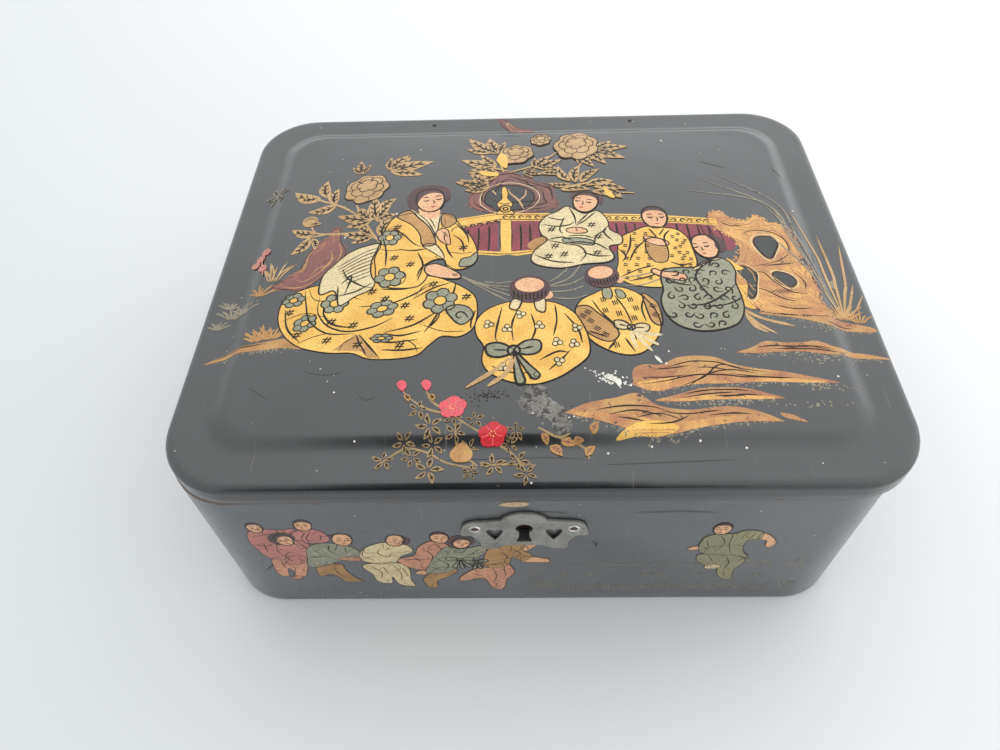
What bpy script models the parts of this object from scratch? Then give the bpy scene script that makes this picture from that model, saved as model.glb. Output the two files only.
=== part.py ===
"""A lacquered jewelry box: a round-cornered case, a cushion-topped lid on two butt
hinges, a box lock behind a bat-shaped escutcheon, and a lift-out tray.

+X is the box's right, +Y its back, +Z up. The origin is the centre of the underside.
All sizes are in metres.
"""

import math

import bmesh
import bpy
from mathutils import Matrix, Vector

MM = 0.001

# --- fits -------------------------------------------------------------------
SEAT = 0.3 * MM  # left between pieces that are glued, nailed or resting
PLAY = 1.0 * MM  # round the loose tray

# --- case -------------------------------------------------------------------
CASE_WIDTH = 238.0 * MM
CASE_DEPTH = 193.5 * MM
CASE_CORNER = 22.5 * MM
CASE_HEIGHT = 79.0 * MM
WALL = 6.5 * MM
BASE_THICK = 5.0 * MM
BASE_UNDER_WALL = 3.0 * MM  # how far the base board reaches into the wall's rebate
SOFT_EDGE = 0.8 * MM  # chamfer on the case's outer edges
LINING = 0.8 * MM
LINING_BELOW_MOUTH = 2.5 * MM
FLOOR_PAD = 2.2 * MM

# --- lid --------------------------------------------------------------------
LID_OVERHANG = 1.0 * MM
LID_SHIFT = 1.8 * MM  # the lid was nailed on a little to the right of centre
LID_EDGE = 9.0 * MM  # height of the lid's side
LID_ROUND = 3.0 * MM  # rounding along the top of that side
LID_BORDER = 15.5 * MM  # from the lid's edge to the middle of the step
LID_STEP_WIDTH = 7.0 * MM
LID_STEP = 2.2 * MM
LID_CROWN = 5.0 * MM
LID_PANEL_CORNER = 14.0 * MM
LID_SKIN = 4.0 * MM
LID_RIM = 14.0 * MM  # solid wood along the lid's underside
LID_PAD_DEEP = 3.7 * MM  # from the lid's underside up to the pad's face

# --- hinges -----------------------------------------------------------------
HINGE_SPREAD = 100.0 * MM  # between the two hinges' middles
HINGE_WIDTH = 24.0 * MM
LEAF_THICK = 1.0 * MM
KNUCKLE_RADIUS = 1.8 * MM
PIN_RADIUS = 0.8 * MM
PIN_PLAY = 0.25 * MM
MIDDLE_KNUCKLE = 7.7 * MM
LID_LEAF_REACH = 9.5 * MM  # from the lid's back edge
NAIL_SPREAD = 12.0 * MM  # between the two nails of a leaf
LID_NAIL_FROM_EDGE = 6.5 * MM

# --- nails ------------------------------------------------------------------
SHANK_RADIUS = 0.6 * MM
HEAD_RADIUS = 1.4 * MM
CASE_NAIL_LENGTH = 7.0 * MM
LID_NAIL_LENGTH = 8.3 * MM
LOCK_NAIL_LENGTH = 3.6 * MM
LINK_NAIL_LENGTH = 6.0 * MM

# --- lock -------------------------------------------------------------------
LOCK_X = -2.9 * MM
LOCK_WIDTH = 40.0 * MM
LOCK_HEIGHT = 26.7 * MM
LOCK_DEPTH = 6.0 * MM
LOCK_SHEET = 1.2 * MM
LOCK_LET_IN = 3.0 * MM  # depth of the recess in the wall
LOCK_CAP = 1.0 * MM
LOCK_NAIL_INSET = 4.5 * MM  # from the lock's sides and its bottom
BOLT_TRAVEL = 4.0 * MM
BOLT_THICK = 1.8 * MM
BOLT_HEIGHT = 3.0 * MM
BOLT_BELOW_MOUTH = 13.0 * MM  # down to the bolt's lower edge
BOLT_END_PLAY = 0.8 * MM  # left at each end of the bolt's travel
BOLT_REST = 4.0 * MM  # length of the step that carries the bolt at each end
NOTCH_WIDTH = 6.0 * MM  # where the key's bit pushes the bolt
PRONG = 1.6 * MM
PRONG_LENGTH = 4.5 * MM
PRONG_SHORT_OF_EYE = 0.5 * MM
LUG_WIDTH = 2.0 * MM
EYE_SPREAD = 18.0 * MM
EYE_THICK = 1.6 * MM
EYE_WIDE = 3.2 * MM
EYE_DROP = 7.6 * MM
EYE_HOLE_WIDE = 2.2 * MM
EYE_HOLE_HIGH = 2.4 * MM
EYE_HOLE_UP = 1.1 * MM  # metal left under the hole
SLOT_PLAY = 0.4 * MM
SPRING_THICK = 0.5 * MM
SPRING_SPAN = 8.0 * MM

# --- link plate in the lid ----------------------------------------------------
LINK_WIDTH = 36.0 * MM
LINK_REACH = 8.0 * MM
LINK_THICK = 1.0 * MM
LINK_FROM_EDGE = 4.0 * MM
LINK_NAIL_SPREAD = 29.0 * MM

# --- escutcheon ---------------------------------------------------------------
PLATE_THICK = 1.0 * MM
PLATE_DOME_RADIUS = 8.8 * MM
PLATE_DOME_HALF = 7.8 * MM  # half the dome's width where it meets the wings
PLATE_DOME_FOOT = 5.3 * MM  # and how far above the keyhole's middle that is
KEYHOLE_BELOW_MOUTH = 17.0 * MM  # down to the middle of the keyhole's round part
KEYHOLE_RADIUS = 2.9 * MM
KEYHOLE_WAIST = 1.7 * MM
KEYHOLE_FLARE = 2.7 * MM
KEYHOLE_DROP = 9.4 * MM
PIERCING_X = 9.8 * MM
PIERCING_LOBE = 2.8 * MM
PIERCING_HIGH = 7.6 * MM
PIERCING_BELOW_KEYHOLE = 4.2 * MM
PLATE_NAIL_X = 16.2 * MM
PLATE_NAIL_LENGTH = 4.5 * MM

# --- tray -------------------------------------------------------------------
TRAY_HEIGHT = 28.0 * MM
TRAY_BELOW_MOUTH = 9.0 * MM
TRAY_WALL = 2.6 * MM
TRAY_FLOOR = 2.0 * MM
TRAY_CORNER = 14.0 * MM
DIVIDER = 2.0 * MM
DIVIDER_BELOW_RIM = 3.0 * MM
LEFT_ROOM = 64.0 * MM
RIGHT_ROOM = 74.0 * MM
PAD_THICK = 3.0 * MM
ROLL_COUNT = 6
ROLL_HEIGHT = 15.0 * MM
ROLL_GAP = 0.4 * MM
TAB_WIDTH = 12.0 * MM
TAB_THICK = 1.0 * MM
TAB_HEIGHT = 17.0 * MM
TAB_LEAN = 2.6 * MM
LEDGE_THICK = 3.0 * MM
LEDGE_HEIGHT = 7.0 * MM
LEDGE_LENGTH = 130.0 * MM

# --- places worked out from the sizes above -----------------------------------
HALF_X = CASE_WIDTH / 2
HALF_Y = CASE_DEPTH / 2
LID_HALF_X = HALF_X + LID_OVERHANG
LID_HALF_Y = HALF_Y + LID_OVERHANG
LID_CORNER = CASE_CORNER + LID_OVERHANG
LID_BOTTOM = CASE_HEIGHT + SEAT
LINING_INSET = WALL + SEAT + LINING  # from the case's outside to the lining's face
AXIS_Y = LID_HALF_Y + KNUCKLE_RADIUS + SEAT
AXIS_Z = CASE_HEIGHT + SEAT / 2
LOCK_FRONT = -HALF_Y + WALL - LOCK_LET_IN + SEAT  # outer face of the lock's sheet
LOCK_BACK = LOCK_FRONT + LOCK_DEPTH
LOCK_TOP = CASE_HEIGHT - SEAT
EYE_Y = LOCK_FRONT + LOCK_SHEET + SLOT_PLAY + EYE_WIDE / 2
KEYHOLE_Z = CASE_HEIGHT - KEYHOLE_BELOW_MOUTH
PLATE_BACK = -HALF_Y - SEAT
TRAY_TOP = CASE_HEIGHT - TRAY_BELOW_MOUTH
TRAY_BOTTOM = TRAY_TOP - TRAY_HEIGHT
TRAY_HALF_X = HALF_X - LINING_INSET - PLAY
TRAY_HALF_Y = -(LOCK_BACK + SEAT + LOCK_CAP + PLAY)
ROOM_X = TRAY_HALF_X - TRAY_WALL - SEAT
ROOM_Y = TRAY_HALF_Y - TRAY_WALL - SEAT
TRAY_DECK = TRAY_BOTTOM + TRAY_FLOOR + SEAT  # what stands on the tray's floor starts here

CORNER_STEPS = 6
ROUND_STEPS = 20


# --- materials ----------------------------------------------------------------
def material(name, colour, roughness, metallic=0.0):
    made = bpy.data.materials.new(name)
    made.use_nodes = True
    shader = made.node_tree.nodes["Principled BSDF"]
    shader.inputs["Base Color"].default_value = (*colour, 1.0)
    shader.inputs["Roughness"].default_value = roughness
    shader.inputs["Metallic"].default_value = metallic
    return made


def make_materials():
    return {
        "lacquer": material("black_lacquer", (0.012, 0.012, 0.014), 0.12),
        "red_lacquer": material("red_lacquer", (0.20, 0.02, 0.012), 0.25),
        "wood": material("wood", (0.24, 0.13, 0.06), 0.7),
        "nickel": material("nickel_plate", (0.42, 0.41, 0.38), 0.35, 1.0),
        "brass": material("brass", (0.55, 0.38, 0.14), 0.35, 1.0),
        "steel": material("steel", (0.35, 0.34, 0.33), 0.4, 1.0),
        "silk": material("silk", (0.35, 0.03, 0.04), 0.6),
    }


# --- building blocks ----------------------------------------------------------
def add_object(name, mesh_maker, look=None):
    """A named object whose closed mesh is built in place, with its faces outwards."""
    shape = bmesh.new()
    mesh_maker(shape)
    bmesh.ops.recalc_face_normals(shape, faces=shape.faces)
    mesh = bpy.data.meshes.new(name)
    shape.to_mesh(mesh)
    shape.free()
    made = bpy.data.objects.new(name, mesh)
    bpy.context.scene.collection.objects.link(made)
    if look:
        mesh.materials.append(look)
    return made


def rounded_ring(half_x, half_y, radius, side_steps=0):
    """Plan points of a rounded rectangle, anticlockwise from the right side's end."""
    points = []
    centres = (
        (half_x - radius, half_y - radius),
        (radius - half_x, half_y - radius),
        (radius - half_x, radius - half_y),
        (half_x - radius, radius - half_y),
    )
    for quarter, (centre_x, centre_y) in enumerate(centres):
        for step in range(CORNER_STEPS + 1):
            angle = math.pi / 2 * (quarter + step / CORNER_STEPS)
            points.append(
                Vector((centre_x + radius * math.cos(angle), centre_y + radius * math.sin(angle)))
            )
        next_x, next_y = centres[(quarter + 1) % 4]
        turn = math.pi / 2 * (quarter + 1)
        end = Vector((next_x + radius * math.cos(turn), next_y + radius * math.sin(turn)))
        start = points[-1].copy()
        for step in range(1, side_steps + 1):
            points.append(start.lerp(end, step / (side_steps + 1)))
    return points


def bridge(shape, rings, closed):
    """Skins neighbouring rings of equal length. A closed run joins its last ring to its first."""
    count = len(rings[0])
    for index in range(len(rings) if closed else len(rings) - 1):
        lower, upper = rings[index], rings[(index + 1) % len(rings)]
        for i in range(count):
            j = (i + 1) % count
            shape.faces.new((lower[i], lower[j], upper[j], upper[i]))


def lofted(rings):
    """Maker of a solid through rings of 3-D points, capped at both ends."""

    def make(shape):
        verts = [[shape.verts.new(p) for p in ring] for ring in rings]
        bridge(shape, verts, closed=False)
        shape.faces.new(verts[0])
        shape.faces.new(verts[-1])

    return make


def framed(profile, half_x, half_y, radius):
    """Maker of a ring: a closed (inset, height) profile carried round a rounded rectangle."""

    def make(shape):
        verts = []
        for inset, height in profile:
            plan = rounded_ring(half_x - inset, half_y - inset, radius - inset)
            verts.append([shape.verts.new((p.x, p.y, height)) for p in plan])
        bridge(shape, verts, closed=True)

    return make


def slab(half_x, half_y, radius, low, high, side_steps=0):
    """Maker of a flat board with round corners."""
    plan = rounded_ring(half_x, half_y, radius, side_steps)
    return lofted([[(p.x, p.y, z) for p in plan] for z in (low, high)])


def block(low, high):
    """Maker of a square-edged block between two corners."""
    middle = (Vector(low) + Vector(high)) / 2
    size = Vector(high) - Vector(low)

    def make(shape):
        place = Matrix.Translation(middle) @ Matrix.Diagonal((*size, 1.0))
        bmesh.ops.create_cube(shape, size=1.0, matrix=place)

    return make


def rod(start, end, radius, steps=ROUND_STEPS):
    """Maker of a round bar between two points."""
    start, end = Vector(start), Vector(end)
    along = end - start
    turn = along.to_track_quat("Z", "Y").to_matrix().to_4x4()

    def make(shape):
        bmesh.ops.create_cone(
            shape,
            cap_ends=True,
            segments=steps,
            radius1=radius,
            radius2=radius,
            depth=along.length,
            matrix=Matrix.Translation((start + end) / 2) @ turn,
        )

    return make


def extruded(outline, depth_low, depth_high):
    """Maker of a flat shape given as (x, z) points, with its thickness along Y."""
    return lofted([[(x, y, z) for x, z in outline] for y in (depth_low, depth_high)])


def boolean(target, maker, operation, name):
    """Cuts or joins a helper shape, which itself isn't part of the box."""
    helper = add_object(f"{target.name}-{name}", maker)
    helper.hide_render = True
    helper.display_type = "WIRE"
    modifier = target.modifiers.new(name, "BOOLEAN")
    modifier.operation = operation
    modifier.solver = "EXACT"
    modifier.object = helper
    return helper


def nail_mesh(name, length, look):
    """A countersunk nail hanging down -Z from the middle of its flat head."""
    rings = []
    cone = HEAD_RADIUS - SHANK_RADIUS
    for radius, z in (
        (HEAD_RADIUS, 0.0),
        (SHANK_RADIUS, -cone),
        (SHANK_RADIUS, -length + 2 * SHANK_RADIUS),
        (SHANK_RADIUS / 4, -length),
    ):
        turns = [2 * math.pi * k / 10 for k in range(10)]
        rings.append([(radius * math.cos(t), radius * math.sin(t), z) for t in turns])
    template = add_object(name, lofted(rings), look)
    mesh = template.data
    bpy.data.objects.remove(template)
    return mesh


def nail(name, mesh, place, turn=(0.0, 0.0, 0.0)):
    """One nail, with the middle of its head at place."""
    made = bpy.data.objects.new(name, mesh)
    made.location = place
    made.rotation_euler = turn
    bpy.context.scene.collection.objects.link(made)
    return made


def nail_hole(place, direction, length):
    """Maker of the room for a nail: a straight hole and a countersink, SEAT clear of it."""
    place, direction = Vector(place), Vector(direction)
    sink = HEAD_RADIUS - SHANK_RADIUS
    turn = direction.to_track_quat("Z", "Y").to_matrix().to_4x4()

    def make(shape):
        hole = rod(place - direction * SEAT, place + direction * (length + SEAT), SHANK_RADIUS + SEAT, 10)
        hole(shape)

    def countersink(shape):
        bmesh.ops.create_cone(
            shape,
            cap_ends=True,
            segments=10,
            radius1=HEAD_RADIUS + SEAT,
            radius2=SHANK_RADIUS + SEAT,
            depth=sink,
            matrix=Matrix.Translation(place + direction * sink / 2) @ turn,
        )

    return make, countersink


# --- case ---------------------------------------------------------------------
def build_case(looks):
    rebate = WALL - BASE_UNDER_WALL
    profile = (
        (SOFT_EDGE, 0.0),
        (rebate - SEAT, 0.0),
        (rebate - SEAT, BASE_THICK + SEAT),
        (WALL, BASE_THICK + SEAT),
        (WALL, CASE_HEIGHT),
        (SOFT_EDGE, CASE_HEIGHT),
        (0.0, CASE_HEIGHT - SOFT_EDGE),
        (0.0, SOFT_EDGE),
    )
    wall = add_object("case_wall", framed(profile, HALF_X, HALF_Y, CASE_CORNER), looks["lacquer"])
    add_object(
        "base_board",
        slab(HALF_X - rebate, HALF_Y - rebate, CASE_CORNER - rebate, 0.0, BASE_THICK),
        looks["lacquer"],
    )
    low, high = BASE_THICK + SEAT, CASE_HEIGHT - LINING_BELOW_MOUTH
    outer = WALL + SEAT
    sleeve = ((outer, low), (LINING_INSET, low), (LINING_INSET, high), (outer, high))
    lining = add_object("wall_lining", framed(sleeve, HALF_X, HALF_Y, CASE_CORNER), looks["silk"])
    inset = LINING_INSET + SEAT
    add_object(
        "floor_pad",
        slab(HALF_X - inset, HALF_Y - inset, CASE_CORNER - inset, low, low + FLOOR_PAD),
        looks["silk"],
    )
    top, reach = TRAY_BOTTOM - SEAT, LEDGE_LENGTH / 2
    for side, sign in (("left", -1), ("right", 1)):
        face = HALF_X - LINING_INSET - SEAT
        left, right = sorted((sign * face, sign * (face - LEDGE_THICK)))
        ledge = block((left, -reach, top - LEDGE_HEIGHT), (right, reach, top))
        add_object(f"tray_ledge_{side}", ledge, looks["wood"])
    return wall, lining


# --- lid ----------------------------------------------------------------------
def lid_plan(inset, side_steps=12):
    """The lid's outline, moved in by inset. Its corners ease towards the panel's own radius."""
    ease = min(1.0, inset / LID_BORDER)
    radius = LID_CORNER + (LID_PANEL_CORNER - LID_CORNER) * ease
    radius = min(radius, LID_HALF_Y - inset - SEAT)  # near the middle the whole end is round
    return rounded_ring(LID_HALF_X - inset, LID_HALF_Y - inset, radius, side_steps)


def lid_height(point, inset):
    """Height of the lid's upper face above LID_BOTTOM: rounded side, border, step and crown."""
    height = LID_EDGE
    if inset < LID_ROUND:
        height -= LID_ROUND - math.sqrt(LID_ROUND**2 - (LID_ROUND - inset) ** 2)
    ramp = (inset - LID_BORDER) / LID_STEP_WIDTH + 0.5
    ramp = max(0.0, min(1.0, ramp))
    height += LID_STEP * ramp * ramp * (3 - 2 * ramp)
    across = max(0.0, 1 - abs(point.x / (LID_HALF_X - LID_BORDER)) ** 2.4)
    along = max(0.0, 1 - abs(point.y / (LID_HALF_Y - LID_BORDER)) ** 2.4)
    return height + LID_CROWN * across * along


def lid_ring(inset, drop=0.0):
    """The ring of the lid's face at inset, drop below the upper face."""
    return [
        (p.x + LID_SHIFT, p.y, LID_BOTTOM + lid_height(p, inset) - drop)
        for p in lid_plan(inset)
    ]


def ring_between(outer, inner, share):
    """The ring that lies share of the way from the outer ring to the inner one."""
    return [
        tuple(a + (b - a) * share for a, b in zip(start, end)) for start, end in zip(outer, inner)
    ]


def flat_ring(inset, z):
    return [(p.x + LID_SHIFT, p.y, z) for p in lid_plan(inset)]


def build_lid(looks):
    widest = LID_HALF_Y - 4 * SEAT  # the innermost ring, almost a line along the lid's middle
    step_out = LID_BORDER - LID_STEP_WIDTH / 2
    step_in = LID_BORDER + LID_STEP_WIDTH / 2
    crown_insets = [widest - (widest - step_in) * k / 6 for k in range(7)]
    step_insets = [step_in - LID_STEP_WIDTH * k / 5 for k in range(1, 6)]
    round_insets = [LID_ROUND * (1 - math.sin(math.pi / 2 * k / 5)) for k in range(5)]
    outside = crown_insets + step_insets + [(LID_ROUND + step_out) / 2] + round_insets
    hollow_edge = LID_RIM + 2 * SOFT_EDGE
    inside = [hollow_edge + (widest - hollow_edge) * k / 11 for k in range(12)]
    rings = [lid_ring(inset) for inset in outside]
    rings.append(flat_ring(0.0, LID_BOTTOM + LID_EDGE - LID_ROUND))
    rings.append(flat_ring(0.0, LID_BOTTOM + SOFT_EDGE))
    rings.append(flat_ring(SOFT_EDGE, LID_BOTTOM))
    rings.append(flat_ring(LID_RIM, LID_BOTTOM))
    rings += [lid_ring(inset, drop=LID_SKIN) for inset in inside]
    lid = add_object("lid_shell", lofted(rings), looks["lacquer"])

    slip, under = 2 * SEAT, LID_SKIN + SEAT
    ceiling = [lid_ring(inset, drop=under) for inset in inside]
    edge = ring_between(ceiling[0], ceiling[1], slip / (inside[1] - inside[0]))
    pad_rings = ceiling[:0:-1] + [edge]
    face = LID_BOTTOM + LID_PAD_DEEP
    pad_rings.append(flat_ring(inside[0] + slip, face + SOFT_EDGE))
    pad_rings.append(flat_ring(inside[0] + slip + SOFT_EDGE, face))
    add_object("lid_pad", lofted(pad_rings), looks["silk"])
    return lid


# --- hinges -------------------------------------------------------------------
def leaf_maker(middle_x, low, high, reach_y, spans):
    """A hinge leaf's plate, with a tongue and knuckle over each (start, end) span along X."""
    half = HINGE_WIDTH / 2
    clear_y = AXIS_Y - KNUCKLE_RADIUS - SEAT
    plate = block((middle_x - half, reach_y, low), (middle_x + half, clear_y, high))
    extras = []
    for start, end in spans:
        left, right = middle_x + start, middle_x + end
        extras.append(block((left, clear_y - LEAF_THICK, low), (right, AXIS_Y, high)))
        extras.append(rod((left, AXIS_Y, AXIS_Z), (right, AXIS_Y, AXIS_Z), KNUCKLE_RADIUS))
    return plate, extras


def build_leaf(name, looks, middle_x, heights, reach_y, spans, nails):
    plate, extras = leaf_maker(middle_x, *heights, reach_y, spans)
    leaf = add_object(name, plate, looks["brass"])
    for index, extra in enumerate(extras):
        boolean(leaf, extra, "UNION", f"join{index}")
    bore = rod(
        (middle_x - HINGE_WIDTH, AXIS_Y, AXIS_Z),
        (middle_x + HINGE_WIDTH, AXIS_Y, AXIS_Z),
        PIN_RADIUS + PIN_PLAY,
    )
    boolean(leaf, bore, "DIFFERENCE", "bore")
    for index, (place, direction, length) in enumerate(nails):
        for part, maker in zip(("shank", "sink"), nail_hole(place, direction, length)):
            boolean(leaf, maker, "DIFFERENCE", f"{part}{index}")
    return leaf


def build_hinge(side, sign, wall, lid, looks, meshes):
    """One butt hinge: returns the pieces that turn with the lid."""
    middle_x = sign * HINGE_SPREAD / 2
    half, gap, inner = HINGE_WIDTH / 2, SEAT, MIDDLE_KNUCKLE / 2
    case_low = CASE_HEIGHT - LEAF_THICK
    lid_high = LID_BOTTOM + LEAF_THICK
    case_reach = HALF_Y - WALL + SEAT
    lid_reach = LID_HALF_Y - LID_LEAF_REACH
    down, up = Vector((0, 0, -1)), Vector((0, 0, 1))
    case_nails, lid_nails = [], []
    for shift in (-NAIL_SPREAD / 2, NAIL_SPREAD / 2):
        x = middle_x + shift
        case_nails.append((Vector((x, HALF_Y - WALL / 2, CASE_HEIGHT)), down, CASE_NAIL_LENGTH))
        lid_nails.append((Vector((x, LID_HALF_Y - LID_NAIL_FROM_EDGE, LID_BOTTOM)), up, LID_NAIL_LENGTH))
    name, spans = f"hinge_{side}_case_leaf", [(-half, -inner - gap), (inner + gap, half)]
    build_leaf(name, looks, middle_x, (case_low, CASE_HEIGHT), case_reach, spans, case_nails)
    name, spans = f"hinge_{side}_lid_leaf", [(-inner, inner)]
    lid_leaf = build_leaf(name, looks, middle_x, (LID_BOTTOM, lid_high), lid_reach, spans, lid_nails)
    add_object(
        f"hinge_{side}_pin",
        rod((middle_x - half, AXIS_Y, AXIS_Z), (middle_x + half, AXIS_Y, AXIS_Z), PIN_RADIUS),
        looks["steel"],
    )
    case_mortise = block(
        (middle_x - half - SEAT, case_reach - SEAT, case_low - SEAT),
        (middle_x + half + SEAT, HALF_Y + SEAT, CASE_HEIGHT + SEAT),
    )
    boolean(wall, case_mortise, "DIFFERENCE", f"mortise_{side}")
    lid_mortise = block(
        (middle_x - half - SEAT, lid_reach - SEAT, LID_BOTTOM - SEAT),
        (middle_x + half + SEAT, LID_HALF_Y + SEAT, lid_high + SEAT),
    )
    boolean(lid, lid_mortise, "DIFFERENCE", f"mortise_{side}")
    moving = [lid_leaf]
    for end, (case_spec, lid_spec) in zip(("outer", "inner"), zip(case_nails[::sign], lid_nails[::sign])):
        place, direction, length = case_spec
        nail(f"hinge_{side}_case_nail_{end}", meshes["case"], place)
        boolean(wall, nail_hole(place, direction, length)[0], "DIFFERENCE", f"nail_{side}_{end}")
        place, direction, length = lid_spec
        moving.append(nail(f"hinge_{side}_lid_nail_{end}", meshes["lid"], place, (math.pi, 0, 0)))
        boolean(lid, nail_hole(place, direction, length)[0], "DIFFERENCE", f"nail_{side}_{end}")
    return moving


# --- escutcheon -----------------------------------------------------------------
def keyhole_outline(grow=0.0):
    """A round hole over a slot that narrows to a waist and flares out at its foot."""
    radius = KEYHOLE_RADIUS + grow
    waist, flare, foot = KEYHOLE_WAIST + grow, KEYHOLE_FLARE + grow, -KEYHOLE_DROP - grow
    start = -math.acos(waist / radius)
    points = [
        (radius * math.cos(a), radius * math.sin(a))
        for a in [start + (math.pi - 2 * start) * k / ROUND_STEPS for k in range(ROUND_STEPS + 1)]
    ]
    points += [(-waist, foot * 0.55), (-flare, foot), (flare, foot), (waist, foot * 0.55)]
    return [(LOCK_X + x, KEYHOLE_Z + z) for x, z in points]


def rounded_run(start, corners, end, steps=6):
    """Rounds each (x, z, radius) corner of a run that comes from start and goes on to end."""
    points = []
    stops = [start, *[(x, z) for x, z, _ in corners], end]
    for i, (x, z, radius) in enumerate(corners):
        here = Vector((x, z))
        before = Vector(stops[i]) - here
        after = Vector(stops[i + 2]) - here
        half = before.angle(after) / 2
        back = min(radius / math.tan(half), 0.49 * before.length, 0.49 * after.length)
        first, last = here + before.normalized() * back, here + after.normalized() * back
        for k in range(steps + 1):
            t = k / steps
            p = first.lerp(here, t).lerp(here.lerp(last, t), t)
            points.append((p.x, p.y))
    return points


def dome_arc():
    """The escutcheon's round top, from its right foot over to its left one."""
    middle_z = PLATE_DOME_FOOT - math.sqrt(PLATE_DOME_RADIUS**2 - PLATE_DOME_HALF**2)
    start = math.acos(PLATE_DOME_HALF / PLATE_DOME_RADIUS)
    turns = [start + (math.pi - 2 * start) * k / ROUND_STEPS for k in range(ROUND_STEPS + 1)]
    return [(PLATE_DOME_RADIUS * math.cos(t), middle_z + PLATE_DOME_RADIUS * math.sin(t)) for t in turns]


def escutcheon_outline():
    """A bat with spread wings: a domed top, two wings with round tips, and two feet."""
    left = (
        (-19.8, 3.9, 5.2),
        (-21.4, -5.1, 3.6),
        (-17.3, -4.8, 1.0),
        (-14.7, -9.8, 2.0),
        (-14.8, -15.0, 2.4),
        (-9.4, -14.4, 3.4),
        (-6.0, -11.8, 4.0),
    )
    left = [(x * MM, z * MM, radius * MM) for x, z, radius in left]
    right = [(-x, z, radius) for x, z, radius in reversed(left)]
    dome = dome_arc()
    outline = dome + rounded_run(dome[-1], [*left, *right], dome[0])
    return [(LOCK_X + x, KEYHOLE_Z + z) for x, z in outline]


def piercing_outline(side):
    """A heart, point down: two round lobes over a pointed foot."""
    points = []
    lobe = PIERCING_LOBE / 2
    top = PIERCING_HIGH / 2 - lobe
    for centre in (lobe, -lobe):
        for k in range(7):
            angle = math.pi * k / 6
            points.append((centre + lobe * math.cos(angle), top + lobe * math.sin(angle)))
    del points[7]  # the two lobes meet in one point
    points += [(-1.5 * lobe, 0.0), (0.0, -PIERCING_HIGH / 2), (1.5 * lobe, 0.0)]
    middle_z = KEYHOLE_Z - PIERCING_BELOW_KEYHOLE
    return [(LOCK_X + side * PIERCING_X + x, middle_z + z) for x, z in points]


def build_escutcheon(wall, looks, meshes):
    front = PLATE_BACK - PLATE_THICK
    plate = add_object("escutcheon", extruded(escutcheon_outline(), front, PLATE_BACK), looks["nickel"])
    beyond = PLATE_THICK
    through = (front - beyond, PLATE_BACK + beyond)
    boolean(plate, extruded(keyhole_outline(), *through), "DIFFERENCE", "keyhole")
    for side in (-1, 1):
        boolean(plate, extruded(piercing_outline(side), *through), "DIFFERENCE", f"heart{side}")
    inner = -HALF_Y + WALL + beyond
    boolean(wall, extruded(keyhole_outline(grow=SEAT), front, inner), "DIFFERENCE", "keyhole")
    for side, sign in (("left", -1), ("right", 1)):
        place = Vector((LOCK_X + sign * PLATE_NAIL_X, front, KEYHOLE_Z))
        into = Vector((0, 1, 0))
        nail(f"escutcheon_nail_{side}", meshes["plate"], place, (math.pi / 2, 0, 0))
        shank, sink = nail_hole(place, into, PLATE_NAIL_LENGTH)
        boolean(plate, shank, "DIFFERENCE", f"shank_{side}")
        boolean(plate, sink, "DIFFERENCE", f"sink_{side}")
        boolean(wall, shank, "DIFFERENCE", f"plate_nail_{side}")


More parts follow.
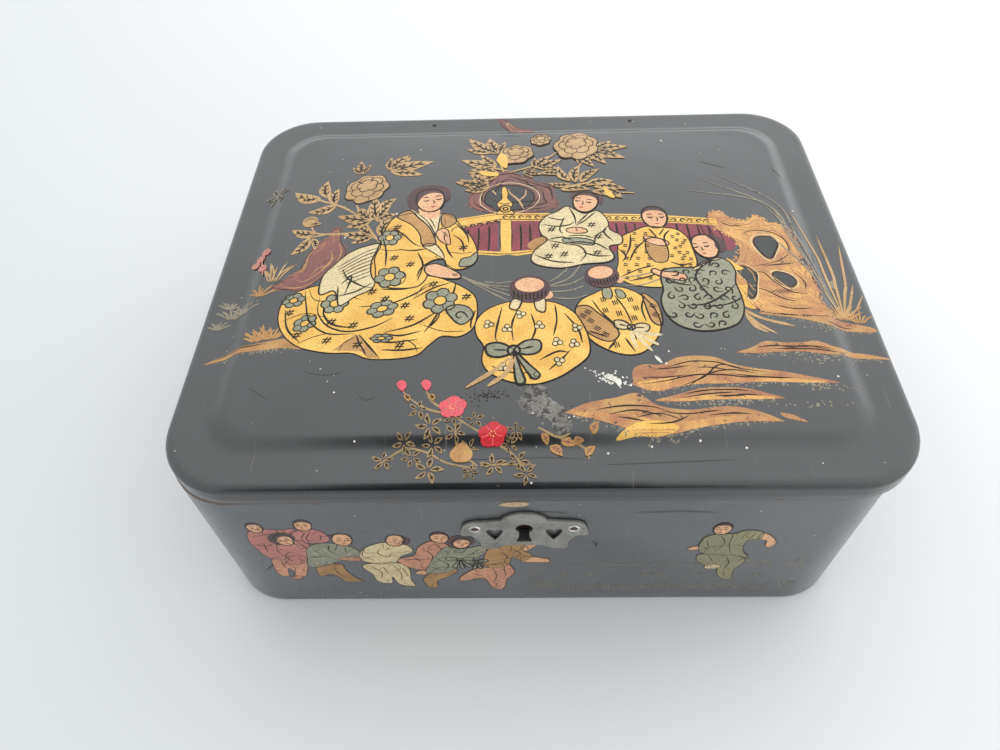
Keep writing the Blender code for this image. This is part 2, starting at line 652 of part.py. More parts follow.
# --- lock -----------------------------------------------------------------------
def build_lock(wall, lining, looks, meshes):
    """The lock's case, cap, spring and nails; returns its sliding bolt."""
    half = LOCK_WIDTH / 2
    bottom = LOCK_TOP - LOCK_HEIGHT
    case = add_object(
        "lock_case",
        block((LOCK_X - half, LOCK_FRONT, bottom), (LOCK_X + half, LOCK_BACK, LOCK_TOP)),
        looks["steel"],
    )
    sheet = LOCK_SHEET
    room = block(
        (LOCK_X - half + sheet, LOCK_FRONT + sheet, bottom + sheet),
        (LOCK_X + half - sheet, LOCK_BACK + sheet, LOCK_TOP - sheet),
    )
    boolean(case, room, "DIFFERENCE", "room")
    keyhole = extruded(keyhole_outline(), LOCK_FRONT - sheet, LOCK_FRONT + 2 * sheet)
    boolean(case, keyhole, "DIFFERENCE", "keyhole")
    bolt_low = CASE_HEIGHT - BOLT_BELOW_MOUTH
    for sign in (-1, 1):
        xs = sorted((LOCK_X + sign * (half - sheet / 2), LOCK_X + sign * (half - sheet - BOLT_REST)))
        rest = block(
            (xs[0], LOCK_FRONT + sheet / 2, bolt_low - SEAT - sheet),
            (xs[1], LOCK_BACK - SEAT, bolt_low - SEAT),
        )
        boolean(case, rest, "UNION", f"rest{sign}")
    eyes = [LOCK_X - EYE_SPREAD / 2, LOCK_X + EYE_SPREAD / 2]
    slot_x, slot_y = EYE_THICK / 2 + SLOT_PLAY, EYE_WIDE / 2 + SLOT_PLAY
    for index, x in enumerate(eyes):
        slot = block(
            (x - slot_x, EYE_Y - slot_y, LOCK_TOP - 2 * sheet),
            (x + slot_x, EYE_Y + slot_y, LOCK_TOP + sheet),
        )
        boolean(case, slot, "DIFFERENCE", f"slot{index}")

    cap = block(
        (LOCK_X - half, LOCK_BACK + SEAT, bottom),
        (LOCK_X + half, LOCK_BACK + SEAT + LOCK_CAP, LOCK_TOP),
    )
    add_object("lock_cap", cap, looks["steel"])
    recess = block(
        (LOCK_X - half - SEAT, LOCK_FRONT - SEAT, bottom - SEAT),
        (LOCK_X + half + SEAT, -HALF_Y + LINING_INSET + SEAT, CASE_HEIGHT + SEAT),
    )
    boolean(wall, recess, "DIFFERENCE", "lock_recess")
    boolean(lining, recess, "DIFFERENCE", "lock_recess")

    for side, sign in (("left", -1), ("right", 1)):
        nail_x = LOCK_X + sign * (half - LOCK_NAIL_INSET)
        place = Vector((nail_x, LOCK_FRONT + sheet, bottom + LOCK_NAIL_INSET))
        outwards = Vector((0, -1, 0))
        nail(f"lock_nail_{side}", meshes["lock"], place, (-math.pi / 2, 0, 0))
        shank, sink = nail_hole(place, outwards, LOCK_NAIL_LENGTH)
        boolean(case, shank, "DIFFERENCE", f"shank_{side}")
        boolean(case, sink, "DIFFERENCE", f"sink_{side}")
        boolean(wall, shank, "DIFFERENCE", f"lock_nail_{side}")

    build_spring(bolt_low + BOLT_HEIGHT, looks)
    return build_bolt(bolt_low, eyes, looks)


def build_bolt(low, eyes, looks):
    """A flat bar with a notch for the key and, before each eye, a lug with a prong."""
    thick = BOLT_THICK / 2
    reach = LOCK_WIDTH / 2 - LOCK_SHEET - BOLT_END_PLAY
    bar = block(
        (LOCK_X - reach, EYE_Y - thick, low),
        (LOCK_X + reach - BOLT_TRAVEL, EYE_Y + thick, low + BOLT_HEIGHT),
    )
    bolt = add_object("lock_bolt", bar, looks["steel"])
    hole_z = LID_BOTTOM - EYE_DROP + EYE_HOLE_UP + EYE_HOLE_HIGH / 2
    for index, eye in enumerate(eyes):
        tip = eye - EYE_THICK / 2 - PRONG_SHORT_OF_EYE
        root = tip - PRONG_LENGTH
        lug = block(
            (root - LUG_WIDTH, EYE_Y - thick, low + BOLT_HEIGHT / 2),
            (root, EYE_Y + thick, hole_z + PRONG / 2),
        )
        boolean(bolt, lug, "UNION", f"lug{index}")
        prong = block(
            (root - LUG_WIDTH / 2, EYE_Y - PRONG / 2, hole_z - PRONG / 2),
            (tip, EYE_Y + PRONG / 2, hole_z + PRONG / 2),
        )
        boolean(bolt, prong, "UNION", f"prong{index}")
    notch = block(
        (LOCK_X - NOTCH_WIDTH / 2, EYE_Y - 2 * thick, low - BOLT_HEIGHT / 2),
        (LOCK_X + NOTCH_WIDTH / 2, EYE_Y + 2 * thick, low + BOLT_HEIGHT / 2),
    )
    boolean(bolt, notch, "DIFFERENCE", "notch")
    return bolt


def build_spring(bolt_top, looks):
    """A bowed strip between the lock's top and the bolt, which holds the bolt where it is put."""
    top = LOCK_TOP - LOCK_SHEET - SEAT - SPRING_THICK
    low = bolt_top + SEAT
    middle_x = LOCK_X - EYE_SPREAD / 2 + SLOT_PLAY + EYE_THICK + SPRING_SPAN / 2
    thick = BOLT_THICK / 2
    under, over = [], []
    for k in range(13):
        t = -1 + k / 6
        z = low + (top - low) * (1 - math.cos(math.pi * t / 2) ** 2)
        under.append((middle_x + t * SPRING_SPAN / 2, z))
        over.append((middle_x + t * SPRING_SPAN / 2, z + SPRING_THICK))
    add_object("lock_spring", extruded(under + over[::-1], EYE_Y - thick, EYE_Y + thick), looks["steel"])


def build_link(lid, looks, meshes):
    """The plate let into the lid, with the two eyes that the bolt's prongs enter."""
    front = -LID_HALF_Y + LINK_FROM_EDGE
    back = front + LINK_REACH
    half = LINK_WIDTH / 2
    top = LID_BOTTOM + LINK_THICK
    sheet = block((LOCK_X - half, front, LID_BOTTOM), (LOCK_X + half, back, top))
    plate = add_object("link_plate", sheet, looks["steel"])
    foot = LID_BOTTOM - EYE_DROP
    for index, sign in enumerate((-1, 1)):
        x = LOCK_X + sign * EYE_SPREAD / 2
        eye = block(
            (x - EYE_THICK / 2, EYE_Y - EYE_WIDE / 2, foot),
            (x + EYE_THICK / 2, EYE_Y + EYE_WIDE / 2, LID_BOTTOM + LINK_THICK / 2),
        )
        boolean(plate, eye, "UNION", f"eye{index}")
        hole_low = foot + EYE_HOLE_UP
        hole = block(
            (x - EYE_THICK, EYE_Y - EYE_HOLE_WIDE / 2, hole_low),
            (x + EYE_THICK, EYE_Y + EYE_HOLE_WIDE / 2, hole_low + EYE_HOLE_HIGH),
        )
        boolean(plate, hole, "DIFFERENCE", f"hole{index}")
    mortise = block(
        (LOCK_X - half - SEAT, front - SEAT, LID_BOTTOM - SEAT),
        (LOCK_X + half + SEAT, back + SEAT, top + SEAT),
    )
    boolean(lid, mortise, "DIFFERENCE", "link_mortise")
    moving = [plate]
    for side, sign in (("left", -1), ("right", 1)):
        place = Vector((LOCK_X + sign * LINK_NAIL_SPREAD / 2, (front + back) / 2, LID_BOTTOM))
        up = Vector((0, 0, 1))
        moving.append(nail(f"link_nail_{side}", meshes["link"], place, (math.pi, 0, 0)))
        shank, sink = nail_hole(place, up, LINK_NAIL_LENGTH)
        boolean(plate, shank, "DIFFERENCE", f"shank_{side}")
        boolean(plate, sink, "DIFFERENCE", f"sink_{side}")
        boolean(lid, shank, "DIFFERENCE", f"link_nail_{side}")
    return moving


# --- tray -----------------------------------------------------------------------
def build_tray(looks):
    """The lift-out tray with its dividers, pads, ring rolls and pull tabs."""
    wall = ((0.0, TRAY_BOTTOM), (TRAY_WALL, TRAY_BOTTOM), (TRAY_WALL, TRAY_TOP), (0.0, TRAY_TOP))
    pieces = [
        add_object("tray_frame", framed(wall, TRAY_HALF_X, TRAY_HALF_Y, TRAY_CORNER), looks["lacquer"]),
        add_object(
            "tray_floor",
            slab(ROOM_X, ROOM_Y, TRAY_CORNER - TRAY_WALL - SEAT, TRAY_BOTTOM, TRAY_BOTTOM + TRAY_FLOOR),
            looks["lacquer"],
        ),
    ]
    top = TRAY_TOP - DIVIDER_BELOW_RIM
    left_x = -ROOM_X + LEFT_ROOM
    right_x = ROOM_X - RIGHT_ROOM
    half = DIVIDER / 2
    for name, x in (("divider_left", left_x), ("divider_right", right_x)):
        board = block((x - half, -ROOM_Y, TRAY_DECK), (x + half, ROOM_Y, top))
        pieces.append(add_object(name, board, looks["lacquer"]))
    start = right_x + half + SEAT
    cross = block((start, -half, TRAY_DECK), (ROOM_X, half, top))
    pieces.append(add_object("divider_cross", cross, looks["lacquer"]))
    pieces += build_pads(left_x, right_x, looks)
    pieces += build_rolls(start, looks)
    for side, sign in (("left", -1), ("right", 1)):
        pieces.append(build_tab(side, sign, looks))
    return pieces


def build_pads(left_x, right_x, looks):
    """Silk-covered pads on the floor of the three open rooms."""
    edge = DIVIDER / 2 + SEAT
    rooms = {
        "pad_left": (-ROOM_X, left_x - edge, -ROOM_Y, ROOM_Y),
        "pad_middle": (left_x + edge, right_x - edge, -ROOM_Y, ROOM_Y),
        "pad_right": (right_x + edge, ROOM_X, edge, ROOM_Y),
    }
    made = []
    for name, (x0, x1, y0, y1) in rooms.items():
        corner = TRAY_CORNER - TRAY_WALL
        maker = slab((x1 - x0) / 2 - SEAT, (y1 - y0) / 2 - SEAT, corner, 0.0, PAD_THICK)
        pad = add_object(name, maker, looks["silk"])
        pad.location = ((x0 + x1) / 2, (y0 + y1) / 2, TRAY_DECK)
        made.append(pad)
    return made


def right_end(y):
    """How far right the tray's room reaches at y, where its front corner rounds it off."""
    radius = TRAY_CORNER - TRAY_WALL - 2 * SEAT
    into_corner = min(radius, max(0.0, -y - (TRAY_HALF_Y - TRAY_CORNER)))
    return TRAY_HALF_X - TRAY_CORNER + math.sqrt(radius**2 - into_corner**2)


def build_rolls(start_x, looks):
    """Padded rolls side by side in the front right room; rings are pushed between them."""
    room = ROOM_Y - DIVIDER / 2 - SEAT
    pitch = room / ROLL_COUNT
    half = (pitch - ROLL_GAP) / 2
    made = []
    for index in range(ROLL_COUNT):
        middle_y = -ROOM_Y + SEAT / 2 + pitch * (index + 0.5)
        arc = [math.pi * k / 12 for k in range(13)]
        crown_z = TRAY_DECK + ROLL_HEIGHT - half
        outline = [(middle_y + half * math.cos(a), crown_z + half * math.sin(a)) for a in arc]
        outline += [(middle_y - half, TRAY_DECK), (middle_y + half, TRAY_DECK)]
        left = [(start_x + SEAT, y, z) for y, z in outline]
        right = [(right_end(y), y, z) for y, z in outline]
        made.append(add_object(f"ring_roll_{index + 1}", lofted([left, right]), looks["silk"]))
    return made


def build_tab(side, sign, looks):
    """A ribbon tab glued inside the tray's end, bowed inwards so that fingers get hold of it."""
    low = TRAY_DECK + PAD_THICK + SEAT
    outline_out, outline_in = [], []
    for k in range(9):
        t = k / 8
        bow = TAB_LEAN * math.sin(math.pi * t / 2) ** 2
        x = ROOM_X - SEAT - bow
        outline_out.append((sign * x, low + TAB_HEIGHT * t))
        outline_in.append((sign * (x - TAB_THICK), low + TAB_HEIGHT * t))
    middle = 0.0 if side == "left" else ROOM_Y / 2
    half = TAB_WIDTH / 2
    ribbon = extruded(outline_out + outline_in[::-1], middle - half, middle + half)
    return add_object(f"lift_tab_{side}", ribbon, looks["silk"])


# --- assembly -------------------------------------------------------------------
def joint_empty(name, place, pieces):
    """Parents a moving body's pieces to an empty on its joint's axis, leaving them in place."""
    empty = bpy.data.objects.new(name, None)
    empty.location = place
    bpy.context.scene.collection.objects.link(empty)
    bpy.context.view_layer.update()
    for piece in pieces:
        piece.parent = empty
        piece.matrix_parent_inverse = empty.matrix_world.inverted()


def main():
    for old in list(bpy.data.objects):
        bpy.data.objects.remove(old)
    looks = make_materials()
    meshes = {
        "case": nail_mesh("hinge_case_nail", CASE_NAIL_LENGTH, looks["brass"]),
        "lid": nail_mesh("hinge_lid_nail", LID_NAIL_LENGTH, looks["brass"]),
        "lock": nail_mesh("lock_nail", LOCK_NAIL_LENGTH, looks["steel"]),
        "link": nail_mesh("link_nail", LINK_NAIL_LENGTH, looks["steel"]),
        "plate": nail_mesh("plate_nail", PLATE_NAIL_LENGTH, looks["nickel"]),
    }
    wall, lining = build_case(looks)
    lid = build_lid(looks)
    turning = [lid, bpy.data.objects["lid_pad"]]
    for side, sign in (("left", -1), ("right", 1)):
        turning += build_hinge(side, sign, wall, lid, looks, meshes)
    build_escutcheon(wall, looks, meshes)
    bolt = build_lock(wall, lining, looks, meshes)
    turning += build_link(lid, looks, meshes)
    tray = build_tray(looks)
    joint_empty("lid_axis", (0, AXIS_Y, AXIS_Z), turning)
    joint_empty("bolt_way", (LOCK_X, EYE_Y, CASE_HEIGHT - BOLT_BELOW_MOUTH), [bolt])
    joint_empty("tray_way", (0, 0, TRAY_BOTTOM), tray)


main()
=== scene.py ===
import math

import bmesh
import bpy
import numpy as np
from mathutils import Matrix, Vector
from mathutils.geometry import delaunay_2d_cdt


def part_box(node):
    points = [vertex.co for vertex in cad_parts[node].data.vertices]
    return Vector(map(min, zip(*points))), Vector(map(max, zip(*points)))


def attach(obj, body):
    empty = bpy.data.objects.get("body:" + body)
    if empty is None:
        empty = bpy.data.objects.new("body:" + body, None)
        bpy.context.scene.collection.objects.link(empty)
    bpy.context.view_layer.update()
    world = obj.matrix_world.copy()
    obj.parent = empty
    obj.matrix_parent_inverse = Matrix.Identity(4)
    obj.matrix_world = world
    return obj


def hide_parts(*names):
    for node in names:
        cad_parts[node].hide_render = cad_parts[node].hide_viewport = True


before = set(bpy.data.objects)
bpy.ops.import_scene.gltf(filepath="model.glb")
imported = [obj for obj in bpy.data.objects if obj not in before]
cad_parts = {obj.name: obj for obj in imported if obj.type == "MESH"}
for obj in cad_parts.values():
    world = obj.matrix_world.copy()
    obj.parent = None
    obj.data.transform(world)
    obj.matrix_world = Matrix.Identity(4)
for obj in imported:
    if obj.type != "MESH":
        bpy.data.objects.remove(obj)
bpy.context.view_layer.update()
mm = 0.001
lidLow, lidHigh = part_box("lid_shell")
caseLow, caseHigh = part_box("case_wall")
print("frame loaded:", len(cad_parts), "pieces")


# nodes and meshes, the small tools

def addNode(tree, kind, inputs=None, **settings):
    made = tree.nodes.new(kind)
    for key, value in settings.items():
        setattr(made, key, value)
    for key, value in (inputs or {}).items():
        if isinstance(value, bpy.types.NodeSocket):
            tree.links.new(value, made.inputs[key])
        else:
            made.inputs[key].default_value = value
    return made


def noise(tree, place, scale, detail=3.0, roughness=0.55, distortion=0.0):
    made = addNode(tree, "ShaderNodeTexNoise", {"Vector": place, "Scale": scale, "Detail": detail,
        "Roughness": roughness, "Distortion": distortion})
    return made.outputs["Fac"]


def ranged(tree, value, low, high, toLow=0.0, toHigh=1.0):  # clamped straight line from low to high
    made = addNode(tree, "ShaderNodeMapRange", {"Value": value, "From Min": low, "From Max": high,
        "To Min": toLow, "To Max": toHigh})
    return made.outputs["Result"]


def maths(tree, operation, a, b=0.0):
    return addNode(tree, "ShaderNodeMath", {0: a, 1: b}, operation=operation).outputs[0]


def mixed(tree, amount, a, b):
    made = addNode(tree, "ShaderNodeMix", {0: amount, 6: a, 7: b}, data_type="RGBA")
    return made.outputs[2]


def stretched(tree, place, scale, turn=0.0):  # coordinates scaled unevenly and turned about Z
    made = addNode(tree, "ShaderNodeMapping", {"Vector": place, "Scale": scale, "Rotation": (0, 0, turn)})
    return made.outputs["Vector"]


def rgb(*values):
    return (*values, 1.0)


def newGroup(name, inputs, outputs):  # an empty group with named sockets
    tree = bpy.data.node_groups.new(name, "ShaderNodeTree")
    for label, kind, value in inputs:
        socket = tree.interface.new_socket(label, in_out="INPUT", socket_type="NodeSocket" + kind)
        if value is not None:
            socket.default_value = value
    for label, kind in outputs:
        tree.interface.new_socket(label, in_out="OUTPUT", socket_type="NodeSocket" + kind)
    return tree, tree.nodes.new("NodeGroupInput"), tree.nodes.new("NodeGroupOutput")


def useGroup(tree, group, inputs):
    made = tree.nodes.new("ShaderNodeGroup")
    made.node_tree = group
    for key, value in inputs.items():
        if isinstance(value, bpy.types.NodeSocket):
            tree.links.new(value, made.inputs[key])
        else:
            made.inputs[key].default_value = value
    return made.outputs


def newMaterial(name, **shaderValues):  # a Principled material with its even values set on the shader
    made = bpy.data.materials.new(name)
    made.use_nodes = True
    tree = made.node_tree
    shader = tree.nodes["Principled BSDF"]
    for key, value in shaderValues.items():
        shader.inputs[key].default_value = value
    place = tree.nodes.new("ShaderNodeTexCoord").outputs["Object"]
    return made, tree, shader, place


def bumped(tree, shader, height, strength, distance):
    made = addNode(tree, "ShaderNodeBump", {"Height": height, "Strength": strength, "Distance": distance})
    tree.links.new(made.outputs["Normal"], shader.inputs["Normal"])


def addMesh(name, points, faces, materials, slots=None, smooth=True):
    mesh = bpy.data.meshes.new(name)
    mesh.from_pydata(np.asarray(points, float).tolist(), [], faces)
    for each in materials:
        mesh.materials.append(each)
    if slots is not None:
        mesh.polygons.foreach_set("material_index", np.asarray(slots, np.int32))
    mesh.polygons.foreach_set("use_smooth", np.full(len(mesh.polygons), smooth))
    mesh.update()
    made = bpy.data.objects.new(name, mesh)
    bpy.context.scene.collection.objects.link(made)
    return made


def addAttribute(thing, name, values):
    layer = thing.data.attributes.new(name, "FLOAT", "POINT")
    layer.data.foreach_set("value", np.asarray(values, np.float32).ravel())


def gridFaces(rows, columns, wrap=False, first=0):  # quads of a grid of points stored row by row
    r = np.arange(rows - 1)[:, None]
    c = np.arange(columns if wrap else columns - 1)[None, :]
    n = (c + 1) % columns
    quads = np.stack([r * columns + c, r * columns + n, (r + 1) * columns + n, (r + 1) * columns + c], -1)
    return (quads.reshape(-1, 4) + first).tolist()


def roundedRing(halfX, halfY, radius, cornerSteps=14, sideSteps=(40, 32)):
    # a rectangle with quarter-circle corners, anticlockwise from the right side's back end
    angles = np.linspace(0, math.pi / 2, cornerSteps + 1)
    parts = []
    for quarter, (signX, signY) in enumerate(((1, 1), (-1, 1), (-1, -1), (1, -1))):
        centre = np.array([signX * (halfX - radius), signY * (halfY - radius)])
        turn = angles + quarter * math.pi / 2
        parts.append(centre + radius * np.stack([np.cos(turn), np.sin(turn)], -1))
    ring = []
    for quarter in range(4):
        ring.append(parts[quarter])
        start, end = parts[quarter][-1], parts[(quarter + 1) % 4][0]
        share = np.linspace(0, 1, sideSteps[quarter % 2] + 2)[1:-1, None]
        ring.append(start + (end - start) * share)
    return np.concatenate(ring)


def mergedFromCad(node, name, materials, sharpAngle=35.0):  # the CAD solid, welded and shaded smooth
    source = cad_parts[node].data
    points = np.empty(len(source.vertices) * 3)
    source.vertices.foreach_get("co", points)
    unique, back = np.unique(np.round(points.reshape(-1, 3), 7), axis=0, return_inverse=True)
    corners = np.empty(len(source.loops), np.int64)
    source.loops.foreach_get("vertex_index", corners)
    faces = back.ravel()[corners].reshape(-1, 3)
    kept = (faces[:, 0] != faces[:, 1]) & (faces[:, 1] != faces[:, 2]) & (faces[:, 2] != faces[:, 0])
    made = addMesh(name, unique, faces[kept].tolist(), materials)
    made.data.set_sharp_from_angle(angle=math.radians(sharpAngle))
    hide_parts(node)
    return made


# what more than one material uses

def wearGroup():  # scratches, dust specks and smudges, each a mask over the surface
    tree, given, result = newGroup("handledWear", [("Place", "Vector", None),
        ("Scratches", "Float", 0.5), ("Specks", "Float", 0.5), ("Seed", "Float", 0.0)],
        [("Scratch", "Float"), ("Speck", "Float"), ("Smudge", "Float")])
    place = addNode(tree, "ShaderNodeVectorMath", {0: given.outputs["Place"],
        1: (0.37, 0.11, 0.23)}).outputs[0]
    lines = []
    for turn, size in ((0.35, 900.0), (-0.9, 1300.0), (1.7, 700.0)):
        streaks = noise(tree, stretched(tree, place, (size, size * 0.018, size * 0.06), turn), 1.0, 1.0)
        gaps = noise(tree, stretched(tree, place, (60, 60, 60), turn), 1.0, 2.0)
        thin = ranged(tree, streaks, 0.735, 0.77)
        lines.append(maths(tree, "MULTIPLY", thin, ranged(tree, gaps, 0.5, 0.62)))
    scratch = maths(tree, "MAXIMUM", maths(tree, "MAXIMUM", lines[0], lines[1]), lines[2])
    cells = addNode(tree, "ShaderNodeTexVoronoi", {"Vector": place, "Scale": 260.0, "Randomness": 1.0})
    chance = addNode(tree, "ShaderNodeSeparateColor", {0: cells.outputs["Color"]}).outputs[0]
    near = ranged(tree, cells.outputs["Distance"], 0.10, 0.05)
    speck = maths(tree, "MULTIPLY", near, ranged(tree, chance, 0.93, 0.95))
    smudge = noise(tree, stretched(tree, place, (14, 22, 18), 0.5), 1.0, 4.0, 0.6, 0.6)
    tree.links.new(maths(tree, "MULTIPLY", scratch, given.outputs["Scratches"]), result.inputs["Scratch"])
    tree.links.new(maths(tree, "MULTIPLY", speck, given.outputs["Specks"]), result.inputs["Speck"])
    tree.links.new(smudge, result.inputs["Smudge"])
    return tree


def edgeGroup():  # the mesh's own "wear" attribute, broken up so that paint goes in patches
    tree, given, result = newGroup("edgeWear", [("Place", "Vector", None), ("Amount", "Float", 0.5)],
        [("Worn", "Float")])
    wear = addNode(tree, "ShaderNodeAttribute", attribute_name="wear").outputs["Fac"]
    patches = noise(tree, given.outputs["Place"], 120.0, 5.0, 0.62, 0.4)
    level = maths(tree, "ADD", maths(tree, "MULTIPLY", wear, given.outputs["Amount"]),
        maths(tree, "MULTIPLY", patches, 0.75))
    tree.links.new(ranged(tree, level, 0.80, 0.88), result.inputs["Worn"])
    return tree


def fleckGroup():  # metal powder: fine grains and broad clouds, and places worn through
    tree, given, result = newGroup("powderFlecks", [("Place", "Vector", None),
        ("Grain", "Float", 2200.0), ("Worn", "Float", 0.2)], [("Fleck", "Float"), ("Cloud", "Float"),
        ("Bare", "Float")])
    place = given.outputs["Place"]
    fleck = addNode(tree, "ShaderNodeTexNoise", {"Vector": place, "Scale": given.outputs["Grain"],
        "Detail": 2.0}).outputs["Fac"]
    cloud = noise(tree, place, 95.0, 3.0, 0.6, 0.5)
    rubbed = noise(tree, place, 420.0, 5.0, 0.7, 0.3)
    bare = maths(tree, "ADD", rubbed, maths(tree, "MULTIPLY", given.outputs["Worn"], 0.35))
    tree.links.new(fleck, result.inputs["Fleck"])
    tree.links.new(cloud, result.inputs["Cloud"])
    tree.links.new(ranged(tree, bare, 0.74, 0.80), result.inputs["Bare"])
    return tree


handledWear = wearGroup()
edgeWear = edgeGroup()
powderFlecks = fleckGroup()


# finishes

# the case's lacquer is the lid's black lacquer with a much paler base: partly real haze and dust on the
# worn sides, partly painted light, a lift standing in for the brightness that the sides show
lacquerLook = {"lid": ((0.0050, 0.0056, 0.0062), 0.12), "case": ((0.056, 0.060, 0.064), 0.2)}


def lacquer(name, colour, gloss, scratches=0.6, wave=1.0, wornTo=(0.11, 0.055, 0.03)):
    made, tree, shader, place = newMaterial(name, **{"Specular IOR Level": 1.0})
    wear = useGroup(tree, handledWear, {"Place": place, "Scratches": scratches, "Specks": 0.9})
    worn = useGroup(tree, edgeWear, {"Place": place, "Amount": 0.55})["Worn"]
    dull = tuple(1.8 * c + 0.006 for c in colour)
    body = mixed(tree, ranged(tree, wear["Smudge"], 0.35, 0.75), rgb(*colour), rgb(*dull))
    body = mixed(tree, maths(tree, "MULTIPLY", wear["Scratch"], 0.5), body, rgb(0.16, 0.15, 0.13))
    body = mixed(tree, wear["Speck"], body, rgb(0.45, 0.44, 0.40))
    body = mixed(tree, worn, body, rgb(*wornTo))
    tree.links.new(body, shader.inputs["Base Color"])
    rough = ranged(tree, wear["Smudge"], 0.3, 0.8, gloss, gloss + 0.16)
    rough = maths(tree, "ADD", rough, maths(tree, "MULTIPLY", worn, 0.4))
    tree.links.new(rough, shader.inputs["Roughness"])
    waves = maths(tree, "MULTIPLY", noise(tree, place, 38.0, 2.0), 1.0 * wave)
    ripples = maths(tree, "MULTIPLY", noise(tree, place, 330.0, 2.0), 0.05)
    height = maths(tree, "ADD", waves, ripples)
    height = maths(tree, "SUBTRACT", height, maths(tree, "MULTIPLY", wear["Scratch"], 0.05))
    height = maths(tree, "SUBTRACT", height, maths(tree, "MULTIPLY", worn, 0.12))
    height = maths(tree, "ADD", height, maths(tree, "MULTIPLY", wear["Speck"], 0.10))
    bumped(tree, shader, height, 0.55, 0.0006)
    return made


def whiteMetal():  # dull plated sheet with brown tarnish
    made, tree, shader, place = newMaterial("wornWhiteMetal", Metallic=1.0)
    wear = useGroup(tree, handledWear, {"Place": place, "Scratches": 1.0, "Specks": 0.0})
    spots = noise(tree, place, 520.0, 5.0, 0.65)
    cast = noise(tree, place, 130.0, 3.0, 0.6)
    body = mixed(tree, ranged(tree, cast, 0.35, 0.7), rgb(0.40, 0.39, 0.36), rgb(0.27, 0.26, 0.235))
    body = mixed(tree, ranged(tree, spots, 0.60, 0.74), body, rgb(0.13, 0.10, 0.075))
    body = mixed(tree, wear["Scratch"], body, rgb(0.62, 0.61, 0.57))
    tree.links.new(body, shader.inputs["Base Color"])
    tree.links.new(ranged(tree, spots, 0.4, 0.75, 0.36, 0.62), shader.inputs["Roughness"])
    bumped(tree, shader, maths(tree, "ADD", spots, maths(tree, "MULTIPLY", cast, 0.6)), 0.4, 0.00012)
    return made


def plainMetal(name, colour, tarnish, rough):
    made, tree, shader, place = newMaterial(name, Metallic=1.0)
    spots = noise(tree, place, 380.0, 5.0, 0.65)
    body = mixed(tree, ranged(tree, spots, 0.45, 0.72), rgb(*colour), rgb(*tarnish))
    tree.links.new(body, shader.inputs["Base Color"])
    tree.links.new(ranged(tree, spots, 0.35, 0.75, rough, rough + 0.25), shader.inputs["Roughness"])
    bumped(tree, shader, spots, 0.3, 0.0001)
    return made


def bareWood():
    made, tree, shader, place = newMaterial("bareWood")
    rings = noise(tree, stretched(tree, place, (30, 420, 420)), 1.0, 4.0, 0.6, 0.4)
    pores = noise(tree, stretched(tree, place, (150, 3000, 3000)), 1.0, 2.0)
    body = mixed(tree, rings, rgb(0.30, 0.17, 0.08), rgb(0.17, 0.085, 0.04))
    body = mixed(tree, ranged(tree, pores, 0.6, 0.75), body, rgb(0.07, 0.035, 0.02))
    tree.links.new(body, shader.inputs["Base Color"])
    tree.links.new(ranged(tree, rings, 0.3, 0.7, 0.6, 0.8), shader.inputs["Roughness"])
    bumped(tree, shader, pores, 0.3, 0.0001)
    return made


lidLacquer = lacquer("lidLacquer", *lacquerLook["lid"], wornTo=(0.055, 0.032, 0.022))
caseLacquer = lacquer("caseLacquer", *lacquerLook["case"], scratches=0.8)
nickel = whiteMetal()
brassSheet = plainMetal("tarnishedBrass", (0.50, 0.34, 0.13), (0.20, 0.12, 0.05), 0.34)
steelSheet = plainMetal("greySteel", (0.33, 0.32, 0.31), (0.15, 0.09, 0.06), 0.36)
rustySteel = plainMetal("rustySteel", (0.16, 0.12, 0.10), (0.08, 0.04, 0.025), 0.5)
wood = bareWood()
print("finishes ready")


# lid

# lift: the leaves and the link plate stand this proud of the underside
lid = {"edge": 9.0, "round": 3.0, "border": 15.5, "stepWidth": 7.0, "step": 2.2, "crown": 5.0,
    "corner": 23.5, "panelCorner": 14.0, "rim": 14.0, "skin": 4.0, "bottomChamfer": 0.8, "lift": 0.15}
lidHalfX = (lidHigh.x - lidLow.x) / 2 / mm
lidHalfY = (lidHigh.y - lidLow.y) / 2 / mm
lidShift = (lidHigh.x + lidLow.x) / 2 / mm
lidBottom = lidLow.z / mm


def lidInset(x, y):
    # how far in from the lid's edge a point lies, found by halving: the ring at inset i is a rounded
    # rectangle i smaller all round, whose corner radius eases from the edge's to the panel's
    low, high = np.zeros_like(x), np.full_like(x, lidHalfY)
    for _ in range(22):
        inset = (low + high) / 2
        radius = lid["corner"] + (lid["panelCorner"] - lid["corner"]) * np.minimum(1, inset / lid["border"])
        radius = np.minimum(radius, lidHalfY - inset)
        qx = np.abs(x) - (lidHalfX - inset - radius)
        qy = np.abs(y) - (lidHalfY - inset - radius)
        outside = np.hypot(np.maximum(qx, 0), np.maximum(qy, 0)) - radius
        outside = outside + np.minimum(np.maximum(qx, qy), 0)
        low, high = np.where(outside < 0, inset, low), np.where(outside < 0, high, inset)
    return (low + high) / 2


def lidHeight(x, y, inset=None):
    # rounded side, flat border, smoothstep up to the panel, and a crown that falls off towards each side
    inset = lidInset(x, y) if inset is None else inset
    bend = np.clip(lid["round"] - inset, 0, lid["round"])
    height = lid["edge"] - lid["round"] + np.sqrt(lid["round"] ** 2 - bend**2)
    ramp = np.clip((inset - lid["border"]) / lid["stepWidth"] + 0.5, 0, 1)
    height = height + lid["step"] * ramp * ramp * (3 - 2 * ramp)
    across = np.clip(1 - np.abs(x / (lidHalfX - lid["border"])) ** 2.4, 0, 1)
    along = np.clip(1 - np.abs(y / (lidHalfY - lid["border"])) ** 2.4, 0, 1)
    return height + lid["crown"] * across * along


def onLid(x, y, lift=0.0):  # lid millimetres to metres in the frame
    return np.stack([(x + lidShift) * mm, y * mm, (lidBottom + lidHeight(x, y) + lift) * mm], -1)


